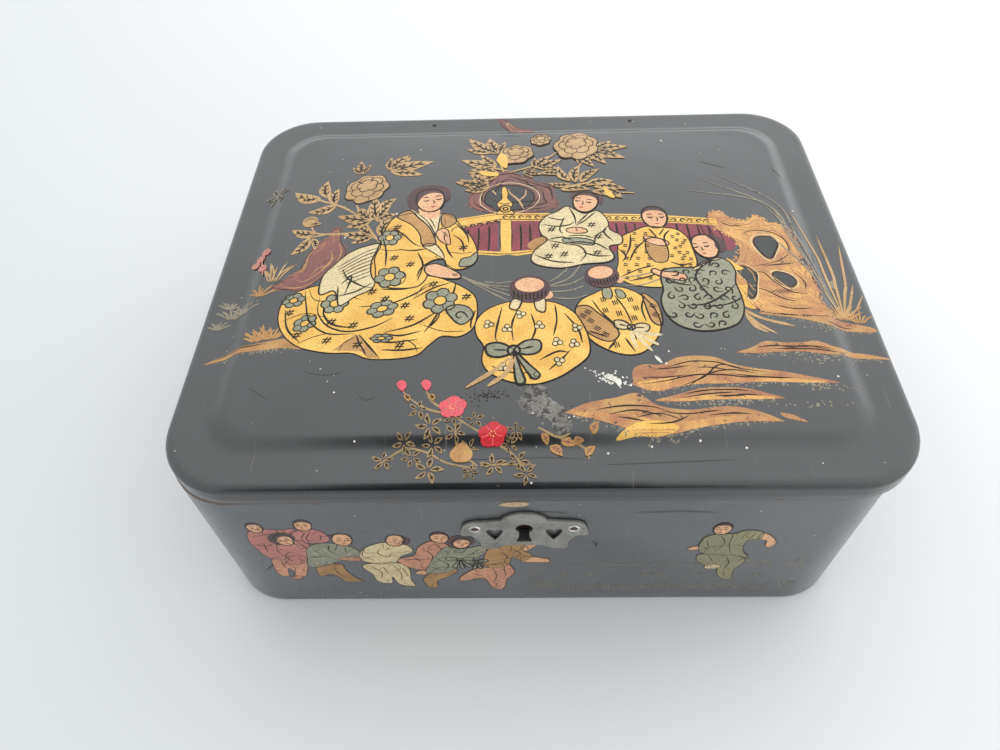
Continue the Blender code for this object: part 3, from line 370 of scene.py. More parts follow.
def lidRing(inset):
    radius = lid["corner"] + (lid["panelCorner"] - lid["corner"]) * min(1, inset / lid["border"])
    return roundedRing(lidHalfX - inset, lidHalfY - inset, min(radius, lidHalfY - inset - 0.2))


def buildLid():
    # the upper face: rings from the edge inwards, then the last ring shrunk towards the middle;
    # the underside: a flat rim and the hollow's wall and ceiling, which follow the upper face
    bends = lid["round"] * (1 - np.sin(np.linspace(0, math.pi / 2, 9)))[::-1]
    insets = np.concatenate([bends, np.linspace(4, 11, 6), np.linspace(11.8, 19.2, 14),
        np.linspace(20.5, 30, 5)])
    rings = [lidRing(i) for i in insets]
    inner = rings[-1]
    rings += [inner * s for s in np.linspace(1, 0.012, 34)[1:]]
    top = [np.column_stack([r, lidBottom + lidHeight(r[:, 0], r[:, 1])]) for r in rings]
    wear = [0.62 * np.exp(-((i - 1.0) / 1.6) ** 2) * np.ones(len(inner)) for i in insets]
    wear += [np.zeros(len(inner))] * (len(rings) - len(insets))
    side = []
    low = lidBottom + lid["lift"]
    for inset, z, worn in ((0, lidBottom + lid["edge"] - lid["round"], 0.4), (0, lidBottom + 3.4, 0.3),
            (0, lidBottom + lid["bottomChamfer"], 0.6), (0.25, low + 0.15, 0.72),
            (lid["bottomChamfer"], low, 0.8), (5.0, low, 0.1), (lid["rim"] - 0.6, low, 0.3),
            (lid["rim"], low + 0.4, 0.8)):
        ring = lidRing(inset)
        side.append(np.column_stack([ring, np.full(len(ring), z)]))
        wear.insert(0, np.full(len(ring), worn))
    hollow = []
    for s in np.linspace(1, 0.012, 12):
        ring = lidRing(lid["rim"] + 1.6) * s
        hollow.append(np.column_stack([ring, lidBottom + lidHeight(ring[:, 0], ring[:, 1]) - lid["skin"]]))
        wear.insert(0, np.zeros(len(ring)))
    stack = np.array(hollow[::-1] + side[::-1] + top)
    rows, columns = stack.shape[:2]
    points = stack.reshape(-1, 3) + (lidShift, 0, 0)
    faces = gridFaces(rows, columns, wrap=True)
    faces.append(list(range(columns))[::-1])
    faces.append(list(range((rows - 1) * columns, rows * columns)))
    made = addMesh("lidShell", points * mm, faces, [lidLacquer])
    addAttribute(made, "wear", np.concatenate(wear))
    made.data.set_sharp_from_angle(angle=math.radians(50))
    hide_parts("lid_shell")
    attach(made, "lid")
    return made


buildLid()
print("lid built")


# case

case = {"wall": 6.5, "corner": 22.5, "softEdge": 1.0, "base": 5.0, "drop": 0.12}
caseHalfX = (caseHigh.x - caseLow.x) / 2 / mm
caseHalfY = (caseHigh.y - caseLow.y) / 2 / mm
caseTop = caseHigh.z / mm


def onWall(s, z, lift=0.0):
    # s runs along the case's outline from the middle of the front, to the right when it is positive:
    # straight, a quarter circle, straight, a quarter circle, and to the middle of the back
    straightX, straightY = caseHalfX - case["corner"], 2 * (caseHalfY - case["corner"])
    arc = case["corner"] * math.pi / 2
    side, run = np.sign(s), np.abs(s)
    first = np.clip(run, 0, straightX)
    bendA = np.clip(run - straightX, 0, arc) / case["corner"]
    second = np.clip(run - straightX - arc, 0, straightY)
    bendB = np.clip(run - straightX - arc - straightY, 0, arc) / case["corner"]
    third = np.clip(run - straightX - 2 * arc - straightY, 0, straightX)
    turn = bendA + bendB
    radius = case["corner"] + lift
    x = first - third + radius * np.where(turn <= math.pi / 2, np.sin(turn),
        0) + np.where(turn > math.pi / 2, radius * np.sin(turn), 0)
    y = -caseHalfY + case["corner"] + second - radius * np.cos(turn)
    return np.stack([side * x * mm, y * mm, z * mm], -1)


def buildCase():
    # one closed profile of insets and heights carried round the case's rounded rectangle
    soft = case["softEdge"]
    quarter = np.linspace(0, math.pi / 2, 6)
    top = caseTop - case["drop"]
    profile = [(case["wall"], 5.3, 0.0), (case["wall"], 40.0, 0.0), (case["wall"], top - 0.5, 0.5)]
    profile += [(case["wall"] - 0.5, top, 0.9), (3.0, top, 0.35)]
    profile += [(soft * (1 - math.sin(a)), top - soft * (1 - math.cos(a)), 1.0) for a in quarter]
    profile += [(0.0, z, w) for z, w in ((76.0, 0.25), (60.0, 0.0), (40.0, 0.0), (20.0, 0.05), (4.0, 0.3))]
    profile += [(soft * (1 - math.cos(a)), soft * (1 - math.sin(a)), 1.0) for a in quarter]
    profile += [(3.2, 0.0, 0.4), (3.2, 5.3, 0.0)]
    rings, wear = [], []
    for inset, z, worn in profile:
        ring = roundedRing(caseHalfX - inset, caseHalfY - inset, case["corner"] - inset)
        rings.append(np.column_stack([ring, np.full(len(ring), z)]))
        corner = np.hypot(ring[:, 0] + 112, ring[:, 1] + 90)
        rubbed = 0.72 + 0.75 * np.exp(-(corner / 22) ** 2)
        wear.append(worn * np.where(z > 70, rubbed, 0.66))
    stack = np.array(rings + rings[:1])
    rows, columns = len(rings), stack.shape[1]
    faces = np.array(gridFaces(rows + 1, columns, wrap=True))
    faces = np.where(faces >= rows * columns, faces - rows * columns, faces)[:, ::-1]
    made = addMesh("caseWall", stack[:-1].reshape(-1, 3) * mm, faces.tolist(), [caseLacquer])
    addAttribute(made, "wear", np.concatenate(wear))
    cutLock(made)
    made.data.set_sharp_from_angle(angle=math.radians(50))
    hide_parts("case_wall")
    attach(made, "case")
    return made


def boxCorners(low, high):  # the eight corners and six faces of a block
    x, y, z = zip(low, high)
    points = [(x[i], y[j], z[k]) for i in (0, 1) for j in (0, 1) for k in (0, 1)]
    faces = [(0, 1, 3, 2), (4, 6, 7, 5), (0, 4, 5, 1), (2, 3, 7, 6), (0, 2, 6, 4), (1, 5, 7, 3)]
    return points, faces


def keyholeOutline(grow=0.0):  # a circle over a slot that narrows to a waist and flares at its foot, in mm
    radius, waist, flare, drop = 2.9 + grow, 1.7 + grow, 2.7 + grow, 9.4 + grow
    start = -math.acos(waist / radius)
    turn = np.linspace(start, math.pi - start, 25)
    arc = np.stack([radius * np.cos(turn), radius * np.sin(turn)], -1)
    foot = np.array([(-waist, -0.55 * drop), (-flare, -drop), (flare, -drop), (waist, -0.55 * drop)])
    return np.concatenate([arc, foot])


def cutLock(wall):  # the lock's recess, open to the inside, and the keyhole
    low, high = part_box("lock_case")
    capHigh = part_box("lock_cap")[1]
    slack = Vector((0.3, 0.3, 0.3)) * mm
    corners, sides = boxCorners(low - slack, Vector((high.x, capHigh.y + 1 * mm, high.z + 3 * mm)) + slack)
    plateLow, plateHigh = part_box("escutcheon")
    middle = np.array([(plateLow.x + plateHigh.x) / 2, 0, caseTop * mm - 17.0 * mm])
    hole = keyholeOutline(0.3) * mm
    front, back = plateLow.y, high.y
    ring = [np.column_stack([hole[:, 0], np.full(len(hole), y), hole[:, 1]]) + middle
            for y in (front, back)]
    holeFaces = [list(range(len(hole))), list(range(2 * len(hole) - 1, len(hole) - 1, -1))]
    holeFaces += np.array(gridFaces(2, len(hole), wrap=True))[:, ::-1].tolist()
    for name, points, faces in (("recess", corners, sides), ("keyway", np.concatenate(ring), holeFaces)):
        cutter = addMesh(name, points, faces, [])
        clean = cutter.modifiers.new("normals", "WELD")
        clean.merge_threshold = 1e-6
        cut = wall.modifiers.new(name, "BOOLEAN")
        cut.operation, cut.solver, cut.object = "DIFFERENCE", "EXACT", cutter
        result = bpy.data.meshes.new_from_object(wall.evaluated_get(bpy.context.evaluated_depsgraph_get()))
        wall.modifiers.clear()
        wall.data = result
        bpy.data.objects.remove(cutter)


buildCase()
print("case built")


# metal that carries over from the frame

for name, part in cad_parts.items():
    finish = rustySteel if "nail" in name else steelSheet
    part.data.materials.clear()
    part.data.materials.append(finish)


# painting kit: filled shapes and tapering lines laid over a curved face

def curveThrough(points, closed=False, steps=7):
    # Catmull-Rom, each span b to c: (2b + (c - a)t + (2a - 5b + 4c - d)t^2 + (3b - a - 3c + d)t^3) / 2
    p = np.asarray(points, float)
    if closed:
        a, b, c, d = np.roll(p, 1, 0), p, np.roll(p, -1, 0), np.roll(p, -2, 0)
    else:
        q = np.concatenate([2 * p[:1] - p[1:2], p, 2 * p[-1:] - p[-2:-1]])
        a, b, c, d = q[:-3], q[1:-2], q[2:-1], q[3:]
    a, b, c, d = (v[:, None, :] for v in (a, b, c, d))
    t = np.linspace(0, 1, steps, endpoint=False)[None, :, None]
    curve = (2 * b + (c - a) * t + (2 * a - 5 * b + 4 * c - d) * t**2 + (3 * b - a - 3 * c + d) * t**3) / 2
    curve = curve.reshape(-1, 2)
    return curve if closed else np.concatenate([curve, p[-1:]])


def spaced(curve, pitch, closed=False):  # the same curve with its points an even pitch apart
    if closed:
        curve = np.concatenate([curve, curve[:1]])
    run = np.concatenate([[0], np.cumsum(np.hypot(*np.diff(curve, axis=0).T))])
    at = np.linspace(0, run[-1], max(math.ceil(run[-1] / pitch), 4) + 1)
    at = at[:-1] if closed else at
    return np.stack([np.interp(at, run, curve[:, k]) for k in (0, 1)], -1)


def newSheet(name, surface, body, base=0.035, cell=2.5, fine=True):
    # what is painted as one piece; own coordinates are turned, scaled and moved by its "frame"
    return {"name": name, "surface": surface, "body": body, "lift": base, "cell": cell, "fine": fine,
        "frame": ((0, 0), 0.0, 1.0, 1), "base": ((0, 0), 0.0, 1.0, 1), "points": [], "faces": [],
        "slots": [], "finishes": [], "count": 0, "random": np.random.default_rng(len(name) * 7 + 3)}


def place(sheet, at=(0, 0), turn=0.0, size=1.0, flip=1):
    sheet["frame"] = (at, math.radians(turn), size, flip)


def onSheet(sheet, points):  # through the motif's frame, then the figure's
    p = np.asarray(points, float)
    for at, turn, size, flip in (sheet["frame"], sheet["base"]):
        c, s = math.cos(turn), math.sin(turn)
        p = (p * (flip * size, size)) @ np.array([[c, s], [-s, c]]) + at
    return p


def keep(sheet, finish, points, faces):
    if finish not in sheet["finishes"]:
        sheet["finishes"].append(finish)
    sheet["points"].append(points)
    sheet["faces"] += [[i + sheet["count"] for i in f] for f in faces]
    sheet["slots"] += [sheet["finishes"].index(finish)] * len(faces)
    sheet["count"] += len(points)


def insideOf(points, ring):  # even-odd rule, and not nearer than a third of a millimetre to the ring
    x, y = points[:, :1], points[:, 1:]
    ax, ay = ring[None, :, 0], ring[None, :, 1]
    bx, by = np.roll(ax, -1, 1), np.roll(ay, -1, 1)
    level = np.where(by == ay, 1e-9, by - ay)
    crossing = ((ay > y) != (by > y)) & (x < (bx - ax) * (y - ay) / level + ax)
    near = np.hypot(x - ax, y - ay).min(1) < 0.33
    return (crossing.sum(1) % 2 == 1) & ~near


brush = {"fineCell": 0.8, "stepBand": 4.6, "lidInk": 1.4, "caseInk": 1.1, "lifts": (0.004, 0.014, 0.004)}


def fill(sheet, finish, outline, pitch=0.9, curved=True, rise=0.003):
    # triangles inside a closed outline, with inner points where the face under it bends, and a thin skirt
    ring = onSheet(sheet, outline)
    ring = curveThrough(ring, closed=True) if curved else ring
    ring = spaced(ring, pitch, closed=True)
    low, high = ring.min(0), ring.max(0)
    inner = []
    for cell, fine in ((sheet["cell"], False), (brush["fineCell"], True)):
        if fine and not sheet["fine"]:
            continue
        gx, gy = np.meshgrid(np.arange(low[0], high[0], cell), np.arange(low[1], high[1], cell))
        grid = np.stack([gx.ravel(), gy.ravel()], -1)
        if fine and len(grid):
            inset = lidInset(grid[:, 0], grid[:, 1])
            grid = grid[np.abs(inset - lid["border"]) < brush["stepBand"]]
        if len(grid):
            inner.append(grid[insideOf(grid, ring)])
    points = np.concatenate([ring] + inner)
    count = len(ring)
    edges = [(i, (i + 1) % count) for i in range(count)]
    flat, _, faces, _, _, _ = delaunay_2d_cdt([Vector(p) for p in points.tolist()], edges, [], 1, 1e-5)
    if not faces:
        return
    flat = np.array([v[:] for v in flat])
    top = sheet["surface"](flat[:, 0], flat[:, 1], sheet["lift"])
    tri = np.array([f[:3] for f in faces])
    pairs = np.concatenate([tri[:, (0, 1)], tri[:, (1, 2)], tri[:, (2, 0)]])
    key = np.sort(pairs, 1)
    _, where, times = np.unique(key, axis=0, return_index=True, return_counts=True)
    rim = pairs[where[times == 1]]
    foot = sheet["surface"](flat[:, 0], flat[:, 1], 0.0)
    n = len(flat)
    skirt = np.stack([rim[:, 1], rim[:, 0], rim[:, 0] + n, rim[:, 1] + n], -1)
    keep(sheet, finish, np.concatenate([top, foot]), tri.tolist() + skirt.tolist())
    sheet["lift"] += rise


def stroke(sheet, finish, path, width=0.5, taper=0.75, pitch=0.8, closed=False, wobble=0.25):
    # a ribbon with a raised middle, w(s) = width (1 - taper |2s - 1|^3), uneven as a brush is
    line = onSheet(sheet, path)
    width *= (brush["lidInk"] if sheet["fine"] else brush["caseInk"]) if finish == "ink" else 1.0
    line = curveThrough(line, closed) if len(line) > 2 else line
    if closed:
        line = np.concatenate([line, line[:1]])
        taper = 0.0
    line = spaced(line, pitch)
    run = np.linspace(0, 1, len(line))
    along = np.gradient(line, axis=0)
    along /= np.maximum(np.hypot(along[:, 0], along[:, 1]), 1e-9)[:, None]
    across = np.stack([-along[:, 1], along[:, 0]], -1)
    press = np.interp(run, np.linspace(0, 1, 6), sheet["random"].uniform(1 - wobble, 1 + wobble, 6))
    half = width * sheet["frame"][2] ** 0.3 / 2 * (1 - taper * np.abs(2 * run - 1) ** 3) * press
    rows = [line - across * half[:, None], line, line + across * half[:, None]]
    raised = [sheet["surface"](*row.T, sheet["lift"] + up) for row, up in zip(rows, brush["lifts"])]
    points = np.concatenate(raised)
    keep(sheet, finish, points, gridFaces(3, len(line)))


def outlined(sheet, finish, outline, ink=0.4):
    fill(sheet, finish, outline)
    stroke(sheet, "ink", outline, ink, closed=True)


def folds(sheet, outline, count, reach=0.5, width=0.3):
    # creases that run in from a cloth's edge and bend as they go
    ring = curveThrough(outline, closed=True)
    middle = ring.mean(0)
    rng = sheet["random"]
    for k in range(count):
        start = ring[int((k + rng.uniform(0.1, 0.8)) * len(ring) / count)]
        way = (middle - start) * reach * rng.uniform(0.5, 1.1)
        aside = np.array([-way[1], way[0]]) * rng.uniform(-0.35, 0.35)
        stroke(sheet, "ink", [start + way * 0.06, start + way * 0.5 + aside, start + way], width, 0.9)


def dots(sheet, finish, places, radius, sides=7):  # little raised discs
    angles = np.linspace(0, 2 * math.pi, sides, endpoint=False)
    disc = np.stack([np.cos(angles), np.sin(angles)], -1)
    centres = onSheet(sheet, places)
    sizes = radius * sheet["random"].uniform(0.7, 1.2, len(centres))
    rim = (centres[:, None] + disc[None] * sizes[:, None, None]).reshape(-1, 2)
    flat = np.concatenate([rim, centres])
    lifts = np.concatenate([np.full(len(rim), -0.01), np.full(len(centres), 0.03)]) + sheet["lift"]
    n = np.arange(len(centres))[:, None]
    k = np.arange(sides)[None]
    fans = np.stack([n * sides + k, n * sides + (k + 1) % sides,
        np.broadcast_to(len(rim) + n, (len(n), sides))], -1)
    keep(sheet, finish, sheet["surface"](flat[:, 0], flat[:, 1], lifts), fans.reshape(-1, 3).tolist())


def finishSheet(sheet):
    points = np.concatenate(sheet["points"])
    made = addMesh(sheet["name"], points, sheet["faces"], [paints[f] for f in sheet["finishes"]],
        sheet["slots"])
    made.data.set_sharp_from_angle(angle=math.radians(40))
    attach(made, sheet["body"])
    return made


# paints

paintColours = {
    "gold": ((0.80, 0.50, 0.12), (0.68, 0.38, 0.075), 0.22),
    "ochre": ((0.50, 0.28, 0.10), (0.36, 0.18, 0.06), 0.20),
    "paleOchre": ((0.52, 0.335, 0.155), (0.40, 0.24, 0.10), 0.30),
    "sprig": ((0.40, 0.27, 0.12), (0.28, 0.19, 0.09), 0.35),
    "faint": ((0.27, 0.235, 0.17), (0.20, 0.175, 0.13), 0.42),
    "rockGold": ((0.66, 0.36, 0.11), (0.40, 0.17, 0.08), 0.35),
    "rockBrown": ((0.36, 0.15, 0.075), (0.50, 0.28, 0.10), 0.40),
    "rockRed": ((0.23, 0.075, 0.06), (0.15, 0.055, 0.045), 0.25),
    "fenceRed": ((0.26, 0.03, 0.048), (0.18, 0.02, 0.035), 0.15),
    "cream": ((0.72, 0.58, 0.32), (0.60, 0.48, 0.26), 0.15),
    "greyGreen": ((0.29, 0.285, 0.19), (0.22, 0.225, 0.15), 0.18),
    "skin": ((0.76, 0.43, 0.23), (0.68, 0.35, 0.18), 0.10),
    "hair": ((0.085, 0.026, 0.028), (0.05, 0.018, 0.02), 0.15),
    "ink": ((0.014, 0.010, 0.007), (0.024, 0.016, 0.010), 0.0),
    "pink": ((0.75, 0.09, 0.12), (0.62, 0.08, 0.10), 0.10),
    "crimson": ((0.55, 0.012, 0.02), (0.42, 0.01, 0.02), 0.10),
    "rose": ((0.52, 0.20, 0.15), (0.42, 0.14, 0.11), 0.3),
    "dustyPink": ((0.62, 0.29, 0.16), (0.48, 0.20, 0.12), 0.3),
    "olive": ((0.30, 0.27, 0.13), (0.22, 0.21, 0.11), 0.25),
    "black": ((0.020, 0.022, 0.021), (0.03, 0.032, 0.03), 0.0),
    "chippedGround": ((0.20, 0.19, 0.165), (0.10, 0.09, 0.075), 0.7),
    "woodChip": ((0.62, 0.46, 0.28), (0.45, 0.29, 0.15), 0.1),
    "chalk": ((0.80, 0.78, 0.70), (0.60, 0.57, 0.50), 0.0),
    "hairline": ((0.035, 0.035, 0.033), (0.05, 0.05, 0.045), 0.0),
}


def paint(name, colour, second, worn):
    glitter = name in ("gold", "ochre", "paleOchre", "sprig", "rockGold", "rockBrown", "faint")
    made, tree, shader, at = newMaterial(name + "Paint", **{"Metallic": 0.3 if glitter else 0.0,
        "Specular IOR Level": 0.2 if name == "ink" else 0.5})
    flecks = useGroup(tree, powderFlecks, {"Place": at, "Grain": 2600.0 if glitter else 1500.0,
        "Worn": worn})
    body = mixed(tree, ranged(tree, flecks["Cloud"], 0.35, 0.65), rgb(*colour), rgb(*second))
    shade = ranged(tree, flecks["Fleck"], 0.3, 0.7, 0.72, 1.22)
    body = addNode(tree, "ShaderNodeVectorMath", {0: body, 1: shade}, operation="MULTIPLY").outputs[0]
    body = mixed(tree, flecks["Bare"], body, rgb(0.035, 0.03, 0.028))
    tree.links.new(body, shader.inputs["Base Color"])
    rough = ranged(tree, flecks["Fleck"], 0.3, 0.7, 0.26, 0.42)
    tree.links.new(rough, shader.inputs["Roughness"])
    bumped(tree, shader, maths(tree, "SUBTRACT", flecks["Fleck"], flecks["Bare"]), 0.25, 0.00008)
    return made


paints = {name: paint(name, *values) for name, values in paintColours.items()}


# motifs, each in its own coordinates

def scallops(radius, petals, dent=0.22, squash=1.0, steps=48):  # r(a) = R (1 - d + d |cos(n a / 2)|^0.7)
    a = np.linspace(0, 2 * math.pi, steps, endpoint=False)
    r = radius * (1 - dent + dent * np.abs(np.cos(petals * a / 2)) ** 0.7)
    return np.stack([r * np.cos(a), squash * r * np.sin(a)], -1)


def circle(at, radius, steps=14, squash=1.0):
    a = np.linspace(0, 2 * math.pi, steps, endpoint=False)
    return np.stack([at[0] + radius * np.cos(a), at[1] + squash * radius * np.sin(a)], -1)


def rosette(sheet, at, radius, turn=0, squash=0.9, petals=6, body="greyGreen", eye="gold"):
    place(sheet, at, turn)
    shape = scallops(radius, petals, squash=squash)
    fill(sheet, body, shape, 0.7, curved=False)
    stroke(sheet, "ink", shape[::2], 0.38, closed=True)
    a = np.arange(petals) * 2 * math.pi / petals + math.pi / petals
    for each in a:
        stroke(sheet, "ink", [(0.35 * radius * math.cos(each), 0.35 * radius * squash * math.sin(each)),
            (0.72 * radius * math.cos(each), 0.72 * radius * squash * math.sin(each))], 0.3)
    fill(sheet, eye, circle((0, 0), 0.34 * radius, squash=squash), 0.5, curved=False)
    stroke(sheet, "ink", circle((0, 0), 0.36 * radius, squash=squash), 0.35, closed=True)
    place(sheet)


def hatch(sheet, at, size=3.4, turn=-8):  # two strokes crossed by two
    place(sheet, at, turn, size / 2)
    for k in (-0.33, 0.33):
        stroke(sheet, "ink", [(-1, k - 0.1), (0, k), (1, k + 0.1)], 0.3, 0.5)
        stroke(sheet, "ink", [(k + 0.35, 1), (k, 0), (k - 0.35, -1)], 0.3, 0.5)
    place(sheet)


veins = {"from": 5, "long": (0.22, 0.42, 0.62), "short": (0.4,)}  # where they leave the rib


def leaf(sheet, at, turn, length, width=0.42, body="paleOchre", bend=0.12, rib="ink"):
    # side edges w(s) = width sin(pi s^0.8) about a bent rib
    place(sheet, at, turn, length)
    s = np.linspace(0, 1, 10)
    half = width / 2 * np.sin(math.pi * s**0.8)
    arch = bend * np.sin(math.pi * s)
    outline = np.concatenate([np.stack([s, arch + half], -1), np.stack([s, arch - half], -1)[-2:0:-1]])
    fill(sheet, body, outline, 0.7, curved=False, rise=0.004)
    stroke(sheet, rib, np.stack([s, arch], -1)[1:-2:2], 0.28)
    for share in veins["long"] if length > veins["from"] else veins["short"]:
        foot = bend * math.sin(math.pi * share)
        for side in (-1, 1):
            lean = side * width * 0.36 * math.sin(math.pi * (share + 0.12))
            stroke(sheet, rib, [(share, foot), (share + 0.16, foot + lean)], 0.2, 0.9)
    place(sheet)


def lobedLeaf(sheet, at, turn, length, body="paleOchre"):  # three pointed lobes on one stem, as a peony has
    for swing, share in ((34, 0.72), (-34, 0.72), (0, 1.0)):
        leaf(sheet, at, turn + swing, length * share, 0.36, body, bend=0.05)


def peony(sheet, at, radius, turn=0, body="paleOchre", squash=0.85):
    for share, petals, shift, dent in ((1.0, 7, 0.0, 0.16), (0.74, 6, 0.12, 0.18), (0.45, 5, 0.2, 0.22)):
        place(sheet, (at[0], at[1] + shift * radius), turn + 40 * share)
        shape = scallops(radius * share, petals, dent, squash)
        fill(sheet, body, shape, 0.8, curved=False)
        stroke(sheet, "ink", shape[::2], 0.3, closed=True)
        angles = np.arange(petals) * 2 * math.pi / petals + math.pi / petals
        for a in angles:
            way = np.array([math.cos(a), squash * math.sin(a)])
            stroke(sheet, "ink", [way * radius * share * 0.55, way * radius * share * 0.86], 0.25)
    place(sheet)


def stem(sheet, path, width=1.0, body="paleOchre"):
    place(sheet)
    stroke(sheet, body, path, width, 0.4)


def tuft(sheet, at, height, blades=7, spread=38, body="faint", width=0.5, lean=0):
    place(sheet)
    rng = sheet["random"]
    for k, angle in enumerate(np.linspace(-spread, spread, blades)):
        a = math.radians(angle + lean + rng.uniform(-5, 5))
        tall = height * rng.uniform(0.65, 1.1)
        tip = np.array([math.sin(a) * tall, math.cos(a) * tall])
        root = np.array([at[0] + 0.05 * height * (k - blades / 2), at[1]])
        stroke(sheet, body, [root, root + tip * (0.45, 0.6), root + tip], width, 0.9, wobble=0.1)


def head(sheet, at, size, turn=0, look=0.0, hair="cap"):
    # an egg with its chin down: eyes half way, nose at three quarters, mouth above the chin
    place(sheet, at, turn, size)
    egg = [(0, -1), (0.40, -0.86), (0.68, -0.42), (0.76, 0.12), (0.62, 0.66), (0.28, 0.95),
        (-0.28, 0.95), (-0.62, 0.66), (-0.76, 0.12), (-0.68, -0.42), (-0.40, -0.86)]
    if hair == "full":
        big = [(-0.75, -0.75), (-1.15, -0.35), (-1.25, 0.3), (-1.0, 0.9), (-0.5, 1.3), (0.2, 1.38),
            (0.8, 1.1), (1.12, 0.6), (1.1, 0.1), (0.8, -0.25), (0.2, 0.2)]
        fill(sheet, "hair", big, 0.7)
    fill(sheet, "skin", egg, 0.6)
    stroke(sheet, "ink", egg, 0.3, closed=True)
    crown = {"cap": [(-0.78, 0.1), (-0.72, 0.62), (-0.3, 1.04), (0.3, 1.04), (0.72, 0.62), (0.78, 0.1),
        (0.6, 0.42), (0.25, 0.62), (-0.25, 0.62), (-0.6, 0.42)],
        "full": [(-0.80, -0.3), (-0.85, 0.4), (-0.5, 1.0), (0.1, 1.1), (0.65, 0.8), (0.8, 0.25),
        (0.55, 0.50), (0.1, 0.62), (-0.35, 0.42), (-0.62, 0.0)],
        "side": [(0.35, 0.85), (0.95, 0.75), (1.25, 0.25), (1.15, -0.35), (0.75, -0.6), (0.55, -0.1),
        (0.62, 0.3)], "tuft": [(-0.95, 0.25), (-1.0, 0.65), (-0.7, 0.75), (-0.6, 0.35)]}[hair]
    fill(sheet, "hair", crown, 0.5)
    for side in (-1, 1):
        x = side * 0.34 + look
        stroke(sheet, "ink", [(x - 0.17, 0.02), (x, -0.05), (x + 0.17, 0.02)], 0.28, 0.5)
        stroke(sheet, "ink", [(x - 0.17, 0.24), (x, 0.29), (x + 0.17, 0.24)], 0.22, 0.6)
    stroke(sheet, "ink", [(look * 1.2, 0.0), (look * 1.2 + 0.07, -0.28), (look * 1.2 - 0.07, -0.33)], 0.22)
    stroke(sheet, "crimson", [(look - 0.14, -0.56), (look, -0.60), (look + 0.14, -0.56)], 0.36)
    place(sheet)


def headFromBack(sheet, at, size, turn=0):  # shaved crown above a thick fringe of hair
    place(sheet, at, turn, size)
    ball = circle((0, 0), 1.0, 16, 0.92)
    fill(sheet, "hair", ball, 0.6)
    fill(sheet, "skin", circle((0, 0.28), 0.72, 14, 0.68), 0.6)
    for k in np.linspace(-0.8, 0.8, 9):
        stroke(sheet, "ink", [(k, -0.25 + 0.3 * k * k), (k * 0.92, -0.75 + 0.35 * k * k)], 0.25)
    place(sheet)


def bow(sheet, at, size, turn=0, body="greyGreen", tails=3):  # a tied sash seen from behind
    place(sheet, at, turn, size)
    for side in (-1, 1):
        fill(sheet, body, [(0, 0), (side * 0.5, 0.42), (side * 1.05, 0.36), (side * 1.0, -0.12),
            (side * 0.5, -0.25)], 0.6)
        stroke(sheet, "ink", [(0, 0), (side * 0.5, 0.42), (side * 1.05, 0.36), (side * 1.0, -0.12),
            (side * 0.5, -0.25)], 0.3, closed=True)
        stroke(sheet, "ink", [(side * 0.2, 0.03), (side * 0.8, 0.12)], 0.25)
    for k in range(tails):
        a = math.radians(-60 - 25 * k)
        c, s = math.cos(a), math.sin(a)
        tail = [(0, 0), (0.9 * c - 0.1 * s, 0.9 * s + 0.1 * c),
            (1.5 * c - 0.16 * s, 1.5 * s + 0.16 * c), (1.5 * c + 0.16 * s, 1.5 * s - 0.16 * c),
            (0.8 * c + 0.14 * s, 0.8 * s - 0.14 * c)]
        fill(sheet, body, tail, 0.6)
        stroke(sheet, "ink", tail, 0.28, closed=True)
    fill(sheet, body, circle((0, 0), 0.24), 0.5, curved=False)
    stroke(sheet, "ink", circle((0, 0), 0.24), 0.3, closed=True)
    place(sheet)


def ringTriplet(sheet, at, radius=0.85, turn=0):  # three small white rings
    place(sheet, at, turn)
    for a in (90, 210, 330):
        c = (1.05 * radius * math.cos(math.radians(a)), 1.05 * radius * math.sin(math.radians(a)))
        fill(sheet, "cream", circle(c, radius, 9), 0.6, curved=False, rise=0.003)
        stroke(sheet, "ink", circle(c, radius, 9), 0.25, closed=True)
    place(sheet)


def dashes(sheet, places, length=1.5, turn=-10):  # short thick marks woven into a cloth
    for at in places:
        place(sheet, at, turn)
        stroke(sheet, "ink", [(-length / 2, 0.45), (length / 2, 0.45)], 0.42, 0.3)
        stroke(sheet, "ink", [(-length / 2, -0.45), (length / 2, -0.45)], 0.42, 0.3)
    place(sheet)


def scroll(sheet, at, size=1.6, turn=0, flip=1, body="ink"):  # r(a) shrinks along one and a half turns
    a = np.linspace(0, 3.3 * math.pi / 2, 12)
    r = 1 - 0.62 * a / a[-1]
    place(sheet, at, turn, size, flip)
    stroke(sheet, body, np.concatenate([[(1.15, -1.0)], np.stack([r * np.cos(a), r * np.sin(a)], -1)]),
        0.42, 0.6, 0.5)
    place(sheet)


print("painting kit ready")


# the garden scene on the lid, in millimetres from the lid's middle

